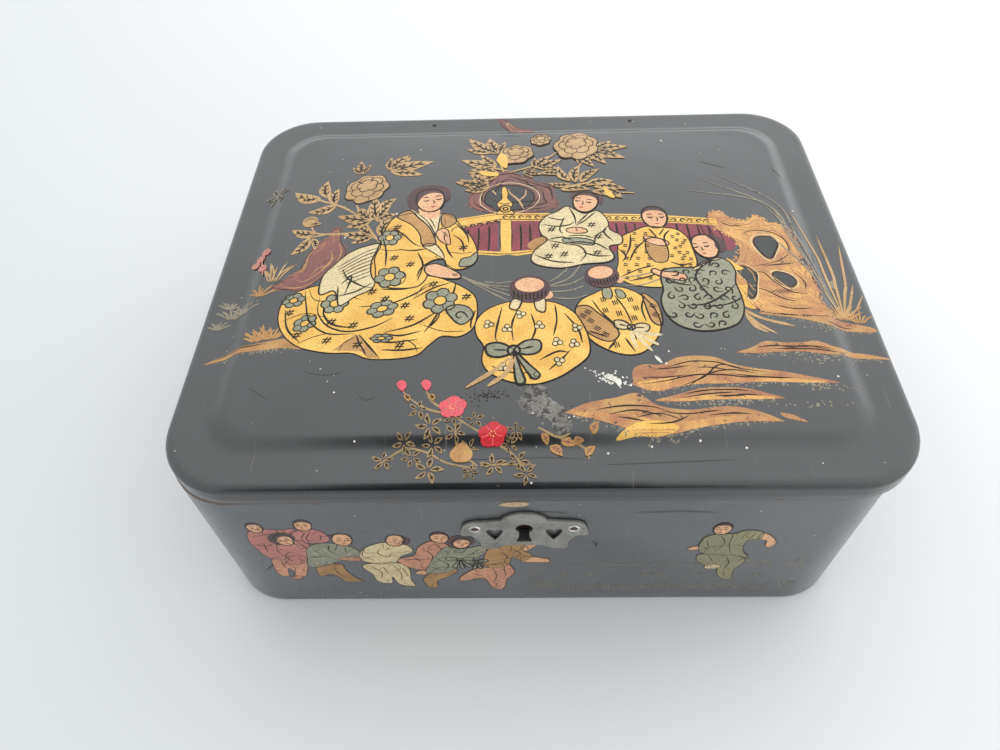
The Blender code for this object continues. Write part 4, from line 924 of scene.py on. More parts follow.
def paintFence():
    sheet = newSheet("fence", onLid, "lid", base=0.05)
    fill(sheet, "fenceRed", [(-27, 12.5), (-13, 15.6), (-13, -1.5), (-24, -2)], curved=False)
    fill(sheet, "fenceRed", [(-8, 15.6), (67, 13.2), (71, -2), (20, -3), (-8, -2)], curved=False)
    for x in (-24.5, -20.5, -16.5, -4.5, -1, 3, 32, 35.5, 39, 55, 59, 63, 67):
        stroke(sheet, "ink", [(x, 13.2 + min(0, (x + 13) * 0.2)), (x + 0.2, 6), (x, -1.5)], 0.55, 0.3)
    top = [(-29, 17.4), (-13, 20.4), (-7, 20.0), (20, 19.2), (44, 18.6), (71, 17.0)]
    low = [(71, 13.0), (44, 14.2), (20, 14.8), (-7, 15.4), (-13, 15.6), (-28, 11.8)]
    fill(sheet, "gold", top + low, curved=False)
    stroke(sheet, "ink", [(x, y - 1.0) for x, y in top], 0.3)
    stroke(sheet, "ink", [(x, y + 0.7) for x, y in low], 0.3)
    for k, x in enumerate(np.arange(-26, 70, 3.1)):
        y = 14.9 + (x + 13) * 0.2 if x < -13 else 17.6 - (x + 13) * 0.031
        scroll(sheet, (x, y), 1.0, turn=40 if k % 2 else -20, flip=1 if k % 2 else -1)
    rail = [(-26, -0.4), (-13, -2.0), (-7, -2.0), (3, -0.8), (3, -2.6), (-6, -4.4), (-9, -3.6),
        (-13, -4.2), (-25, -2.6)]
    fill(sheet, "gold", rail, curved=False)
    stroke(sheet, "ink", [(-25, -1.6), (-13, -3.2), (-7, -3.1), (2, -1.8)], 0.3)
    fill(sheet, "gold", [(-12.3, 19), (-8.1, 19), (-7.6, 8), (-7.9, -3.5), (-12.1, -3.5), (-12.5, 8)],
        curved=False)
    stroke(sheet, "ink", [(-12.2, 17), (-12.3, 8), (-12.0, -2)], 0.3)
    stroke(sheet, "ink", [(-8.1, 17), (-7.8, 8), (-8.0, -2)], 0.3)
    urn = [(-13.4, 19.6), (-7.0, 19.6), (-7.6, 21.4), (-8.3, 22.5), (-7.4, 25.4), (-8.0, 27.2),
        (-9.4, 29.5), (-9.2, 33), (-10.2, 37), (-11.6, 36.6), (-11.9, 33), (-11.6, 29.5), (-13.0, 27.2),
        (-13.6, 25.4), (-12.4, 22.5), (-13.2, 21)]
    outlined(sheet, "gold", urn, 0.3)
    stroke(sheet, "ink", [(-12.8, 26.6), (-10.5, 25.8), (-8.2, 26.6)], 0.35)
    fill(sheet, "gold", circle((-10.2, 22.8), 2.5), curved=False)
    stroke(sheet, "ink", circle((-10.2, 22.8), 2.2), 0.5, closed=True)
    stroke(sheet, "ink", circle((-10.2, 22.8), 1.0, 9), 0.5, closed=True)
    return finishSheet(sheet)


def craggy(sheet, finish, outline, holes=(), lines=(), edge="rockRed", holeFill="black", holeRim="ink"):
    fill(sheet, finish, outline)
    rng = sheet["random"]
    ring = np.asarray(outline, float)
    middle = ring.mean(0)
    for share in (0.9, 0.74, 0.55):
        inner = middle + (ring - middle) * share + rng.normal(0, 0.45, ring.shape)
        breakAt = int(rng.integers(0, len(inner)))
        run = np.roll(inner, breakAt, 0)
        for part in np.array_split(run, 3):
            if len(part) > 2:
                stroke(sheet, edge, part, 0.5, 0.9)
    crumbs = curveThrough(ring, closed=True, steps=9)
    dots(sheet, finish, crumbs + rng.normal(0, 0.45, crumbs.shape), 0.5)
    stroke(sheet, "ink", ring + rng.normal(0, 0.25, ring.shape), 0.22, closed=True)
    for hole in holes:
        fill(sheet, holeFill, hole)
        stroke(sheet, holeRim, hole, 0.45, closed=True)
        centre = np.mean(hole, 0)
        stroke(sheet, "cream", centre + (np.array(hole) - centre) * 1.2, 0.4, closed=True)
    for line in lines:
        stroke(sheet, "ink", line, 0.36, 0.9)
        stroke(sheet, edge, np.array(line) + (0.8, 1.1), 0.7, 0.9)


def paintRocks():
    sheet = newSheet("gardenRocks", onLid, "lid", base=0.04)
    arch = [(-24, 25), (-24.5, 30), (-22, 34.5), (-18.5, 40), (-15, 46), (-11, 48), (-7, 47.6),
        (-4, 44.5), (-1, 43), (2, 40), (6, 38.5), (8.5, 35.5), (8.8, 31), (10.2, 26.5), (9, 23),
        (3, 21), (-7, 20.4), (-17, 21)]
    hole = [(-18.5, 29), (-17.5, 33.5), (-14, 37), (-9.5, 38.2), (-4.5, 37.4), (0, 34), (1.2, 29.5),
        (-1, 25), (-6, 22), (-13, 22.2), (-17.5, 25.5)]
    craggy(sheet, "rockRed", arch, [hole], edge="ink")
    for path in ([(-3, 22), (-5, 28), (-8.5, 33), (-9, 36)], [(-5, 28), (-2.5, 31), (-2, 35)],
            [(-14, 32), (-15.5, 35)]):
        stroke(sheet, "paleOchre", path, 0.8, 0.6)
    leftRock = [(-75, 15.5), (-73.6, 8), (-70.5, 1), (-73, -5), (-77.5, -11), (-84, -17), (-91, -16.5),
        (-96, -15), (-93, -12), (-87, -7.5), (-85, 1), (-82, 7), (-79, 9), (-77.8, 14)]
    craggy(sheet, "rockRed", leftRock, edge="rockBrown")
    craggy(sheet, "rockRed", [(-13.5, 94), (-10, 93.6), (-6, 88), (0, 85.6), (1.5, 83.4), (-6, 84),
        (-10.5, 88)], edge="rockBrown")
    right = [(68, 17), (69.5, 20.6), (74, 20.3), (77, 17.5), (82, 16.4), (86, 19.6), (89, 18.8),
        (91, 16), (95, 15.6), (98.5, 11), (99.8, 5), (100, -1), (97.5, -5), (101.5, -9), (101, -14),
        (102, -20), (101.5, -25), (104.5, -31.5), (96, -32.4), (86, -32), (80, -31.5), (76, -28),
        (74, -22), (71, -17), (73, -9), (76, -3), (76.5, 3), (73, 8), (69, 12)]
    holes = ([(83, 3), (84, 6.5), (87, 7.8), (91, 7.2), (92, 3.5), (90.5, 0), (88, -4.2), (85.5, -3)],
        [(86.3, -14), (87.5, -11.6), (91, -11.8), (93.6, -13.5), (94.4, -16.5), (92, -19),
        (88.5, -17.5)], [(73.6, -10), (77, -9.4), (80.4, -13), (79.6, -18), (78, -24), (75.4, -25),
        (76.6, -18), (74.6, -14)])
    lines = ([(79, 8), (83, 10.5), (90, 10.6), (95, 7), (95.6, 0), (91, -5), (84, -8), (79, -9)],
        [(72, 15), (76, 13), (81, 13.5)], [(97, -6), (90, -7.5), (84, -8.5)],
        [(78, -13), (83, -12), (86, -16), (91, -21), (97, -22)],
        [(77, -20), (82, -21), (88, -25), (94, -26)], [(84, -28), (90, -29.5), (97, -29)],
        [(95, -11), (97.5, -16), (97, -20)])
    fill(sheet, "fenceRed", [(58, 14), (68, 13.5), (73, 8.5), (76.6, 2.5), (74, -1), (64, 0), (58, 4)],
        curved=False)
    for k in range(3):
        stroke(sheet, "ink", [(64 + 3.4 * k, 13.4 - 1.8 * k), (66 + 3.0 * k, 3)], 0.36)
    craggy(sheet, "rockGold", right, holes, lines, edge="rockBrown")
    for k in range(5):
        stroke(sheet, "ink", [(84 + 1.3 * k, -22.4), (87 + 1.3 * k, -20)], 0.24)
    fill(sheet, "gold", [(72, -20), (76, -19), (75, -24), (77, -30), (73.5, -29.5), (71, -25)])
    for path in ([(72, -31), (76, -37), (82, -41.5)], [(71.5, -30), (78, -34.6), (89, -37.8)],
            [(72.5, -32), (75, -38), (79, -41)]):
        stroke(sheet, "paleOchre", path, 1.5, 0.9)
    return finishSheet(sheet)


def bank(sheet, crest, base, body, low, lines=()):
    # a drift of cloud or ground: a brown upper part, a gold foot, flowing lines and a dotted lower edge
    fill(sheet, body, list(crest) + list(base)[::-1], 0.9)
    crestLine, baseLine = (spaced(curveThrough(p), 1.2) for p in (crest, base))
    n = min(len(crestLine), len(baseLine))
    crestLine, baseLine = crestLine[np.linspace(0, len(crestLine) - 1,
        n).astype(int)], baseLine[np.linspace(0, len(baseLine) - 1, n).astype(int)]
    rng = sheet["random"]
    if low:
        inner = baseLine + (crestLine - baseLine) * 0.42
        fill(sheet, low, np.concatenate([inner[2:-2:3], baseLine[2:-2:3][::-1]]), 0.9)
    for share in (0.32, 0.58, 0.8):
        start, end = sorted(rng.integers(2, n - 2, 2))
        path = baseLine + (crestLine - baseLine) * share
        if end - start > 6:
            stroke(sheet, "ink", path[start:end:4], 0.36, 0.95)
    for line in lines:
        stroke(sheet, "ink", line, 0.36, 0.95)
    count = int(n * 1.6)
    along = rng.uniform(0.04, 0.96, count)
    x = np.interp(along, np.linspace(0, 1, n), baseLine[:, 0])
    y = np.interp(along, np.linspace(0, 1, n), baseLine[:, 1]) - np.abs(rng.normal(0, 0.7, count)) - 0.2
    dots(sheet, "faint", np.stack([x, y], -1), 0.33)


def paintGround():
    sheet = newSheet("groundBanks", onLid, "lid", base=0.04)
    bank(sheet, [(-113, -48), (-105, -43.5), (-95, -41.6), (-86, -40.4), (-80, -42)],
        [(-113, -48.6), (-104, -45.8), (-94, -45), (-86, -44.6), (-79, -45.5)], "ochre", None)
    bank(sheet, [(78, -32), (85, -31.4), (93, -31.6), (102, -32), (109, -33.5), (117, -36)],
        [(78, -32.6), (86, -33.4), (94, -34.6), (103, -36.8), (110, -37.6), (117, -38)], "rockBrown",
        None)
    bank(sheet, [(67, -49.6), (72, -47.6), (77, -44.8), (83, -45.2), (90, -44.8), (95, -44),
        (101, -46.5), (110, -47.5), (118, -49.6)], [(67, -50), (74, -50), (82, -49.2), (90, -49),
        (98, -49.8), (108, -49.6), (118, -50.2)], "rockBrown", None,
        [[(74, -47.6), (80, -46.6), (88, -47.6)], [(84, -47), (92, -46.4), (99, -48)]])
    bank(sheet, [(31, -62), (31.5, -57), (35, -55), (41, -55), (46, -52.4), (52, -51.4), (59, -52),
        (64, -54.5), (71, -56.2), (80, -57.4), (88, -59), (97, -61.2)],
        [(31, -63), (38, -65.4), (44, -64), (52, -62.6), (62, -62.4), (74, -61.6), (86, -61.8),
        (97, -61.6)], "rockBrown", "rockGold", [[(38, -57), (44, -56.4), (50, -55.4)],
        [(48, -64), (56, -58.5), (64, -57), (72, -58.4)], [(46, -63.6), (54, -60), (60, -55),
        (68, -56.6)], [(34, -60), (42, -60), (49, -59)], [(62, -58.4), (72, -59.6), (84, -60)]])
    bank(sheet, [(38, -68.4), (44, -66.8), (52, -64.4), (60, -63.8), (68, -64.4), (78, -67.6)],
        [(38, -69), (46, -69.2), (54, -68.6), (62, -68.4), (70, -68.4), (78, -68)], "rockBrown",
        "rockGold", [[(46, -68), (54, -66.4), (64, -65.6)], [(58, -67.6), (66, -66.6), (72, -67)]])
    bank(sheet, [(9, -72.6), (16, -69.4), (25, -67.6), (32, -66), (38, -70.5), (47, -72.2), (55, -71.4),
        (62, -71), (70, -73), (76, -76)], [(9, -73), (18, -75.4), (26, -78), (33, -80.5), (42, -80.4),
        (50, -78.6), (60, -77), (68, -76.4), (76, -76.6)], "rockBrown", "rockGold",
        [[(18, -72), (27, -70.6), (36, -71), (42, -73)], [(22, -73.6), (31, -72.2), (40, -74.6)],
        [(30, -75), (38, -73.4), (45, -75.6)], [(34, -77), (42, -76.6), (48, -74)]])
    fill(sheet, "gold", [(24, -82), (30, -77), (38, -76), (44, -78.5), (38, -81.2), (31, -81)])
    fill(sheet, "rockBrown", [(76, -73.4), (80, -74.2), (84, -76.8), (80, -76), (77, -75)])
    rng = sheet["random"]
    for cx, cy, spread, many in ((95, -52.5, 12, 26), (92, -63.5, 12, 24), (60, -70, 10, 22),
            (86, -70.5, 12, 20), (40, -82, 10, 12), (-97, -46.5, 8, 12), (100, -38, 10, 18)):
        places = np.stack([rng.normal(cx, spread / 2, many), rng.normal(cy, 0.8, many)], -1)
        dots(sheet, "faint", places, 0.36)
    for at, tall in (((-94, -40.6), 7), ((-91, -40.4), 8), ((-97, -41.2), 6), ((-109, -28), 7),
            ((-105, -26), 6), ((-111, -23), 5), ((-113, -33), 5), ((-100, -19), 6)):
        tuft(sheet, at, tall, 6, 60, "ochre" if at[0] > -105 else "faint", 0.9)
    return finishSheet(sheet)


def paintGrass():
    sheet = newSheet("longGrass", onLid, "lid", base=0.10)
    root = (108.4, -31.5)
    for tip, sag, width in (((61, 34.5), (92, 28), 0.75), ((68, 42.5), (94, 26), 0.8),
            ((75.5, 46), (97, 28), 0.75), ((90, 30), (101, 8), 0.8), ((88, 12), (99, -6), 0.7),
            ((101, 24), (106.5, 2), 0.95), ((109.5, 12), (110.2, -8), 1.0),
            ((116.5, 6), (113.5, -14), 1.0), ((112.5, -16), (110.5, -24), 0.8),
            ((116, -15), (112.5, -24), 0.9), ((118, -20), (114, -27), 0.7),
            ((104, -12), (105.5, -22), 0.9)):
        middle = np.array(root) * 0.35 + np.array(sag) * 0.65
        stroke(sheet, "paleOchre" if tip[0] > 95 else "faint", [root, middle, sag, tip], width, 0.9,
            wobble=0.1)
    tuft(sheet, (108.5, -32.5), 9, 9, 55, "ochre", 0.8)
    tuft(sheet, (113.5, -34), 7, 6, 50, "ochre", 0.7)
    for at in ((-97, -12), (-95.5, -12)):
        tuft(sheet, at, 11, 4, 34, "paleOchre", 0.7)
    fill(sheet, "faint", [(107.5, -14), (109.5, -12.6), (110, -16), (108.6, -17)])
    return finishSheet(sheet)


def paintPlants():
    sheet = newSheet("peonies", onLid, "lid", base=0.07)
    for path in ([(-57, 4), (-62, 12), (-67, 22), (-70, 29)], [(-57, 4), (-58.5, 16), (-60, 27)],
            [(-66, 20), (-75, 28), (-84, 33), (-90, 37)], [(-57, 6), (-66, 11.5), (-76, 12),
            (-84, 13.5), (-87, 19)], [(-80, 12), (-88, 11)], [(-79, 30), (-82, 36)]):
        stem(sheet, path, 0.95)
    for at, turn, length in (((-85, 34), 152, 14), ((-82.5, 35), 98, 12), ((-79, 30), 88, 11),
            ((-78, 30), 196, 12), ((-86, 36), 182, 9), ((-84, 13), 160, 11), ((-86, 11), 235, 11),
            ((-85, 10.5), 285, 7), ((-60, 24), 52, 10), ((-61, 18), 25, 9), ((-57.5, 8), 78, 12)):
        leaf(sheet, at, turn, length, 0.42)
    for at, turn, length in (((-60.5, 19), 98, 15), ((-62.5, 19), 165, 15), ((-61, 10), 172, 13),
            ((-58, 50), 22, 19), ((-59, 52), 55, 13), ((-70, 50), 100, 10)):
        lobedLeaf(sheet, at, turn, length)
    peony(sheet, (-67, 39.5), 10.2, 15)
    fill(sheet, "paleOchre", circle((-87.5, 20.6), 3.2, 10))
    stroke(sheet, "ink", [(-90, 21), (-87.5, 22.6), (-85, 21)], 0.3)
    leaf(sheet, (-87.5, 18.6), 0, 5, 0.5)
    for turn in (20, 110, 200, 290):
        leaf(sheet, (-105, 41), turn, 5.4, 0.5, "faint")
    stem(sheet, [(-105, 40), (-107, 35)], 0.6, "faint")
    # the large plant behind the rock
    for path in ([(-11, 47), (-12.5, 55), (-11.5, 61)], [(-9, 47), (2, 52), (8, 58), (12, 63)],
            [(-9, 48), (-18, 52), (-24, 57)], [(12, 35), (20, 38), (27, 40)],
            [(27, 38), (33, 33), (41, 32)]):
        stem(sheet, path, 1.0)
    for at, turn, length in (((-16, 63), 130, 16), ((-13, 62), 108, 14), ((-14, 52), 160, 16),
            ((-13, 46), 172, 13), ((-17, 36), 150, 14), ((-17, 40), 176, 14), ((3, 50), 30, 12),
            ((2, 50), 55, 11), ((24, 62), -18, 17), ((28, 64), 8, 14), ((20, 58), -50, 10),
            ((-3, 47), -14, 8)):
        lobedLeaf(sheet, at, turn, length)
    for at, turn, length in (((16, 40), 112, 12), ((18, 39), 78, 13), ((20, 39), 48, 13),
            ((16, 38), 175, 9), ((25, 36), -8, 13), ((22, 37), 14, 12), ((24, 33), -20, 13),
            ((4, 46), -10, 9), ((12, 34), 0, 12), ((29, 35), -40, 9)):
        leaf(sheet, at, turn, length, 0.34)
    for at, radius, turn in (((-6, 61), 8.4, 0), ((5, 73), 5.2, 20), ((20, 67), 11.5, 35)):
        peony(sheet, at, radius, turn)
    fill(sheet, "gold", [(-14, 56), (-10, 50), (-9.6, 58), (-12, 62)])
    fill(sheet, "gold", [(-21, 48), (-14, 47), (-13.5, 44.6), (-19, 45)])
    fill(sheet, "gold", [(29, 36), (31.5, 33), (33, 29), (32, 28.6), (29.6, 31)])
    for at in ((-105.5, -1), (-102.4, 5), (-104, 2), (-102, -4)):
        place(sheet)
        fill(sheet, "rose", circle(at, 1.8, 9))
    stem(sheet, [(-102, 7), (-103, 0), (-101, -8)], 0.6, "rose")
    return finishSheet(sheet)


def paintBlossoms():
    sheet = newSheet("lowBlossoms", onLid, "lid", base=0.07)
    for path in ([(-43.5, -64), (-41, -67), (-35, -71), (-28, -73)],
            [(-36, -63.5), (-34, -68), (-28, -72.5), (-22, -77)],
            [(-22, -77), (-14, -82), (-8, -86), (-4, -92)], [(-49, -89), (-42, -84), (-35, -85),
            (-28, -89), (-19, -91)], [(-26, -76), (-25, -84), (-19, -90)],
            [(-18, -90), (-10, -89.6), (-1, -90)], [(0, -78), (6, -81), (10, -80)],
            [(6, -81), (14, -84), (15.5, -88)]):
        stem(sheet, path, 0.7, "sprig")
    spots = (((-38, -71), 3.6), ((-34, -77), 4.0), ((-26, -79.5), 3.6), ((-20, -75), 3.2),
        ((-42, -82), 3.3), ((-48, -88), 3.6), ((-39.5, -87), 3.8), ((-34, -91.5), 4.2),
        ((-33, -83), 3.8), ((-21.5, -84), 3.2), ((-14, -90), 3.6), ((-6.5, -88.5), 3.8),
        ((-7, -79), 3.2), ((-4, -93), 3.2), ((-21, -92.5), 2.8), ((-9, -83), 3.0), ((-27, -74), 2.8))
    for k, (at, size) in enumerate(spots):
        for turn in range(0, 360, 72):
            angle = math.radians(turn + 31 * k)
            root = (at[0] + 0.18 * size * math.cos(angle), at[1] + 0.18 * size * math.sin(angle))
            long = size * (0.75 + 0.3 * math.sin(turn + 2.1 * k) ** 2)
            leaf(sheet, root, turn + 31 * k, long, 0.44, "sprig", bend=0.10, rib="ink")
    fill(sheet, "ochre", [(-27.5, -85.5), (-24, -82.4), (-20.6, -85), (-21.5, -88.4), (-26, -88.6)])
    for at, size in (((3.5, -83.6), 3.4), ((14.5, -87), 3.0), ((7, -82.5), 3.0), ((10.5, -83), 2.6),
            ((17, -80.5), 3.2), ((1, -80), 2.6)):
        leaf(sheet, at, -70 + 8 * at[0], size * 1.5, 0.6, "ochre", rib="rockRed")
    for at in ((-44, -62.2), (-36, -62.2)):
        fill(sheet, "pink", [(at[0] - 1.7, at[1] + 0.6), (at[0], at[1] + 2.1),
            (at[0] + 1.7, at[1] + 0.4), (at[0] + 0.4, at[1] - 2.2)])
        leaf(sheet, (at[0] + 1.2, at[1] - 3.4), -60, 3.2, 0.6, "ochre")
    for at, radius, body, second in (((-27, -70.5), 4.6, "pink", "rose"),
            ((-14.2, -80), 4.7, "crimson", "pink")):
        place(sheet, at, 18)
        shape = scallops(radius, 5, 0.2, 0.85)
        fill(sheet, body, shape, 0.6, curved=False)
        for k in range(5):
            a = 2 * math.pi * (k + 0.5) / 5
            stroke(sheet, second, [(0.2 * radius * math.cos(a), 0.2 * radius * math.sin(a)),
                (0.8 * radius * math.cos(a), 0.7 * radius * math.sin(a))], 0.4)
        place(sheet)
        dots(sheet, "gold",
            np.array([(math.cos(a), 0.8 * math.sin(a)) for a in np.arange(6)]) * 0.9 + at, 0.25)
    return finishSheet(sheet)


def paintDamage():
    # a torn patch of bare ground coat, a fringe of chips, and white spots
    sheet = newSheet("paintDamage", onLid, "lid", base=0.06)
    fill(sheet, "chippedGround", [(-5, -66), (-3.5, -64), (-1, -61.6), (0.6, -62.4), (3, -64),
        (4.2, -67.5), (6.5, -69.6), (9, -72), (9.4, -75), (11.4, -76), (9.6, -79), (7, -81), (5, -79.4),
        (3.4, -75), (0, -74.6), (-3.6, -72.6), (-6, -70)])
    rng = sheet["random"]
    place(sheet)
    base = np.array([(-5, -67), (-2, -63.4), (3, -66), (8, -73), (9, -78), (1, -74)])
    dots(sheet, "chippedGround", np.repeat(base, 9, 0) + rng.normal(0, 1.6, (54, 2)), 0.36)
    dots(sheet, "chalk", np.array([(11.4, -74.2), (9.8, -74.6), (-1.6, -73)]), 0.42)
    cluster = np.stack([rng.normal(24, 2.6, 60), rng.normal(-60.4, 1.3, 60)], -1)
    cluster[:, 1] -= 0.35 * (cluster[:, 0] - 24)
    dots(sheet, "chalk", cluster, 0.36)
    fill(sheet, "chalk", [(23, -58.6), (25, -59.6), (27.4, -61.5), (26.4, -63.4), (25, -61.6), (22, -60)])
    fill(sheet, "chalk", [(39, -51.4), (40.4, -52.2), (41.4, -54.4), (40, -53.6)])
    spots = np.array([(44, -49.6), (42.6, -54.6), (21.4, -86), (50, -82.4), (-47.5, -86), (103, 24.5),
        (109, -15), (57, 71), (-47, 67), (-72, 9.6), (-53, 22), (64, -84.6), (-9.5, 91), (35, -84),
        (-2.5, -96), (-57.5, -81.6), (-66, -64), (98, -59)])
    dots(sheet, "chalk", spots, 0.42)
    dots(sheet, "chalk", np.stack([rng.uniform(-108, 108, 60), rng.uniform(-92, 92, 60)], -1), 0.16)
    dust = np.stack([rng.normal(-20, 14, 40), rng.normal(-88.5, 1.0, 40)], -1)
    dots(sheet, "ink", np.stack([rng.normal(-16, 3.5, 70), rng.normal(-66.5, 1.1, 70)], -1), 0.24)
    dots(sheet, "faint", dust, 0.2)
    for at in ((-42.9, 91.0), (45.9, 91.7)):
        place(sheet)
        fill(sheet, "ink", circle(at, 0.9, 9), 0.4)
    for path in ([(-95, -61), (-92, -63), (-88, -66)], [(-78, -55), (-70, -57), (-64, -56)],
            [(-60, -62), (-56, -67), (-52, -66)], [(88, 8), (86, 4)], [(70, 55), (82, 50)],
            [(-30, -88), (0, -87.2), (14, -88)], [(20, -90), (60, -88.6)]):
        stroke(sheet, "hairline", path, 0.3, 0.95)
    for path in ([(103, -13), (105, 2)], [(100, 52), (104, 44)], [(-12, 78), (-3, 77)]):
        stroke(sheet, "hairline", path, 0.25, 0.95)
    return finishSheet(sheet)


# the figures: a seated teller and five children

def paintWoman():
    sheet = newSheet("seatedWoman", onLid, "lid", base=0.12)
    skirt = [(-90.5, -23), (-91, -29), (-89.5, -35), (-86, -40.5), (-81, -44.6), (-75, -46.8),
        (-69, -48), (-62, -48.4), (-56, -51), (-47, -51.3), (-40, -50), (-36, -46), (-32, -42.4),
        (-26, -42.6), (-21.6, -39.6), (-20.2, -35), (-20, -30), (-20.8, -25), (-24, -21), (-30, -17),
        (-37, -14), (-50, -12), (-62, -14), (-77, -15.5), (-84, -17.5), (-88, -20)]
    outlined(sheet, "gold", skirt, 0.35)
    folds(sheet, skirt, 9, 0.55, 0.26)
    hem = [(-69, -46.8), (-65, -43.5), (-62, -40.2), (-59.5, -41), (-56, -46), (-52, -50.9),
        (-56.5, -50.6), (-59, -47.6)]
    fill(sheet, "ochre", hem, curved=False)
    for path in ([(-61.5, -40.4), (-60, -44), (-57, -49.5)], [(-60.5, -40.4), (-57, -45), (-53, -50)],
            [(-83, -18), (-81.5, -25), (-79, -33), (-72, -39.2), (-62, -40)],
            [(-77, -22), (-76.6, -29), (-72.4, -35.6), (-65, -38.8), (-56, -37.2), (-49.5, -33.5)],
            [(-75, -26), (-74, -31), (-70, -35.5), (-62, -37.5)],
            [(-62, -27.6), (-52, -27), (-44, -23.5), (-38, -19)],
            [(-52, -40), (-42, -37), (-33, -30.5)], [(-33, -30.5), (-35.5, -36), (-38, -40.5)],
            [(-33, -30.5), (-33.5, -34), (-36, -38)], [(-32, -30.5), (-22, -32)],
            [(-57, -42), (-50, -44.3), (-40, -43.5)], [(-52, -47.4), (-45, -47.8), (-38, -47)],
            [(-52, -40.5), (-46, -41.5), (-39, -39.8)], [(-88.8, -27), (-86.5, -36), (-81, -42.6)],
            [(-20.6, -31), (-22, -36), (-22, -39.4)], [(-43, -25), (-36, -20), (-30, -17.6)],
            [(-55, -19.5), (-47, -20), (-42, -19)], [(-28, -17.5), (-28.6, -22), (-30, -26)]):
        stroke(sheet, "ink", path, 0.5)
    for at, radius, turn, squash in (((-86.5, -22.5), 4.4, 10, 0.8), ((-80.5, -34), 4.6, 40, 0.8),
            ((-52.5, -42.4), 4.0, 0, 0.5), ((-71, -25.4), 5.0, 0, 0.95), ((-53.5, -29), 5.6, 15, 0.7),
            ((-33.2, -26.2), 6.2, 20, 0.95)):
        rosette(sheet, at, radius, turn, squash)
    fan = [(-31, -30.5), (-28, -28.4), (-23.5, -29.4), (-21.4, -33), (-24, -37), (-27, -36.6)]
    outlined(sheet, "greyGreen", fan, 0.4)
    scroll(sheet, (-26, -33.4), 2.0, 20)
    for at in ((-87, -28.5), (-82.5, -39.2), (-71.5, -42.4), (-71, -34), (-63, -36), (-58, -20.6),
            (-53, -24.4), (-45.5, -27.8), (-43.5, -34), (-36.2, -18), (-24, -24.6), (-60.5, -44.8),
            (-46, -45.7)):
        hatch(sheet, at)
    # the striped sash at the back
    sash = [(-57.5, 4.4), (-63, 3.8), (-69, 0.6), (-74, -5.6), (-77.6, -11.5), (-77.4, -20.4),
        (-72.5, -19), (-70.6, -22.5), (-69, -26.6), (-64, -22.6), (-58, -18.5), (-58, -10), (-59, -3)]
    outlined(sheet, "cream", sash, 0.4)
    for k in range(8):
        start = np.array([-58.2 - 0.25 * k, 2.6 - 2.1 * k])
        stroke(sheet, "ink", [start, start + (-5.4, -2.6), start + (-14.5 + 0.9 * k, -9.8 + 0.9 * k)],
            0.32, 0.4)
    for path in ([(-70.5, -8), (-68, -13), (-62, -17.5), (-58, -18.5)],
            [(-70, -16), (-66.5, -12), (-68, -21)], [(-71, -17), (-70, -26)],
            [(-70.6, -22), (-64, -20), (-58.4, -16)]):
        stroke(sheet, "ink", path, 0.5)
    # body, sleeves and collar
    body = [(-53, 20), (-56, 15), (-57.2, 9), (-58.4, 2), (-60, -5), (-59, -13), (-55, -17.6),
        (-50, -19.4), (-42, -19), (-38.6, -14), (-40, -10), (-37.6, -6), (-33, -5.4), (-31.5, -9.5),
        (-28, -11), (-24, -10), (-21.4, -6), (-20.8, -1), (-23, 6), (-27, 12.4), (-30.4, 18),
        (-35, 20.4), (-44, 22)]
    outlined(sheet, "gold", body, 0.4)
    folds(sheet, body, 9, 0.55, 0.26)
    panel = [(-41.6, 2.6), (-37, 3.2), (-34, -1), (-33, -5), (-37.6, -1.2)]
    fill(sheet, "cream", panel, curved=False)
    stroke(sheet, "ink", panel, 0.35, closed=True)
    throat = [(-47.4, 24), (-43, 21), (-38, 20), (-35, 20), (-35.8, 12), (-36.4, 3), (-39, 6), (-42.5, 15)]
    fill(sheet, "cream", throat)
    for path in ([(-46.5, 23.6), (-41, 17), (-37.6, 10), (-36.6, 4)],
            [(-45, 23), (-40, 18.5), (-37, 12)], [(-35.6, 20), (-36, 14), (-36.2, 8)]):
        stroke(sheet, "ink", path, 0.35)
    collar = [(-52.6, 20), (-48, 23.6), (-44, 18.6), (-40, 13.6), (-37.6, 8), (-36.6, 3), (-41.4, 2.6),
        (-43, 9), (-46.6, 14.8)]
    outlined(sheet, "ochre", collar, 0.4)
    second = [(-34.6, 20.6), (-30.2, 19), (-29.4, 15), (-33, 12.2), (-35, 15)]
    outlined(sheet, "ochre", second, 0.4)
    for path in ([(-56, 13), (-50, 10), (-45, 4), (-42, 2)], [(-50.5, 1), (-45, 0), (-40, 0.6)],
            [(-57, 8), (-55, 0), (-54.5, -8)], [(-29.6, 15), (-25, 8), (-24, 3)],
            [(-30, 8), (-26.6, 4), (-25.6, -2)], [(-33, 4), (-31.6, -1), (-29.6, -5)],
            [(-43, -1), (-40.6, -8), (-42, -16)], [(-37.6, -6), (-41, -9.4), (-42.4, -14)]):
        stroke(sheet, "ink", path, 0.5)
    for at, radius, turn, squash in (((-54.4, 7.8), 4.5, 0, 1.0), ((-52.4, -13.6), 5.6, 10, 0.95)):
        rosette(sheet, at, radius, turn, squash)
    place(sheet)
    cuff = [(-27, -9.5), (-26.4, -5.6), (-23.2, -4.4), (-21, -2), (-20.6, -5.6), (-22.6, -9)]
    outlined(sheet, "greyGreen", cuff, 0.4)
    for at in ((-52, 13.6), (-51.6, -3.6), (-45.2, -7.4), (-26, 0.6)):
        hatch(sheet, at)
    arm = [(-39.6, -9), (-36, -7.6), (-31, -10), (-26.8, -13.4), (-26.6, -15.4), (-30, -15.6),
        (-35, -14.6), (-39, -12.6)]
    outlined(sheet, "skin", arm, 0.38)
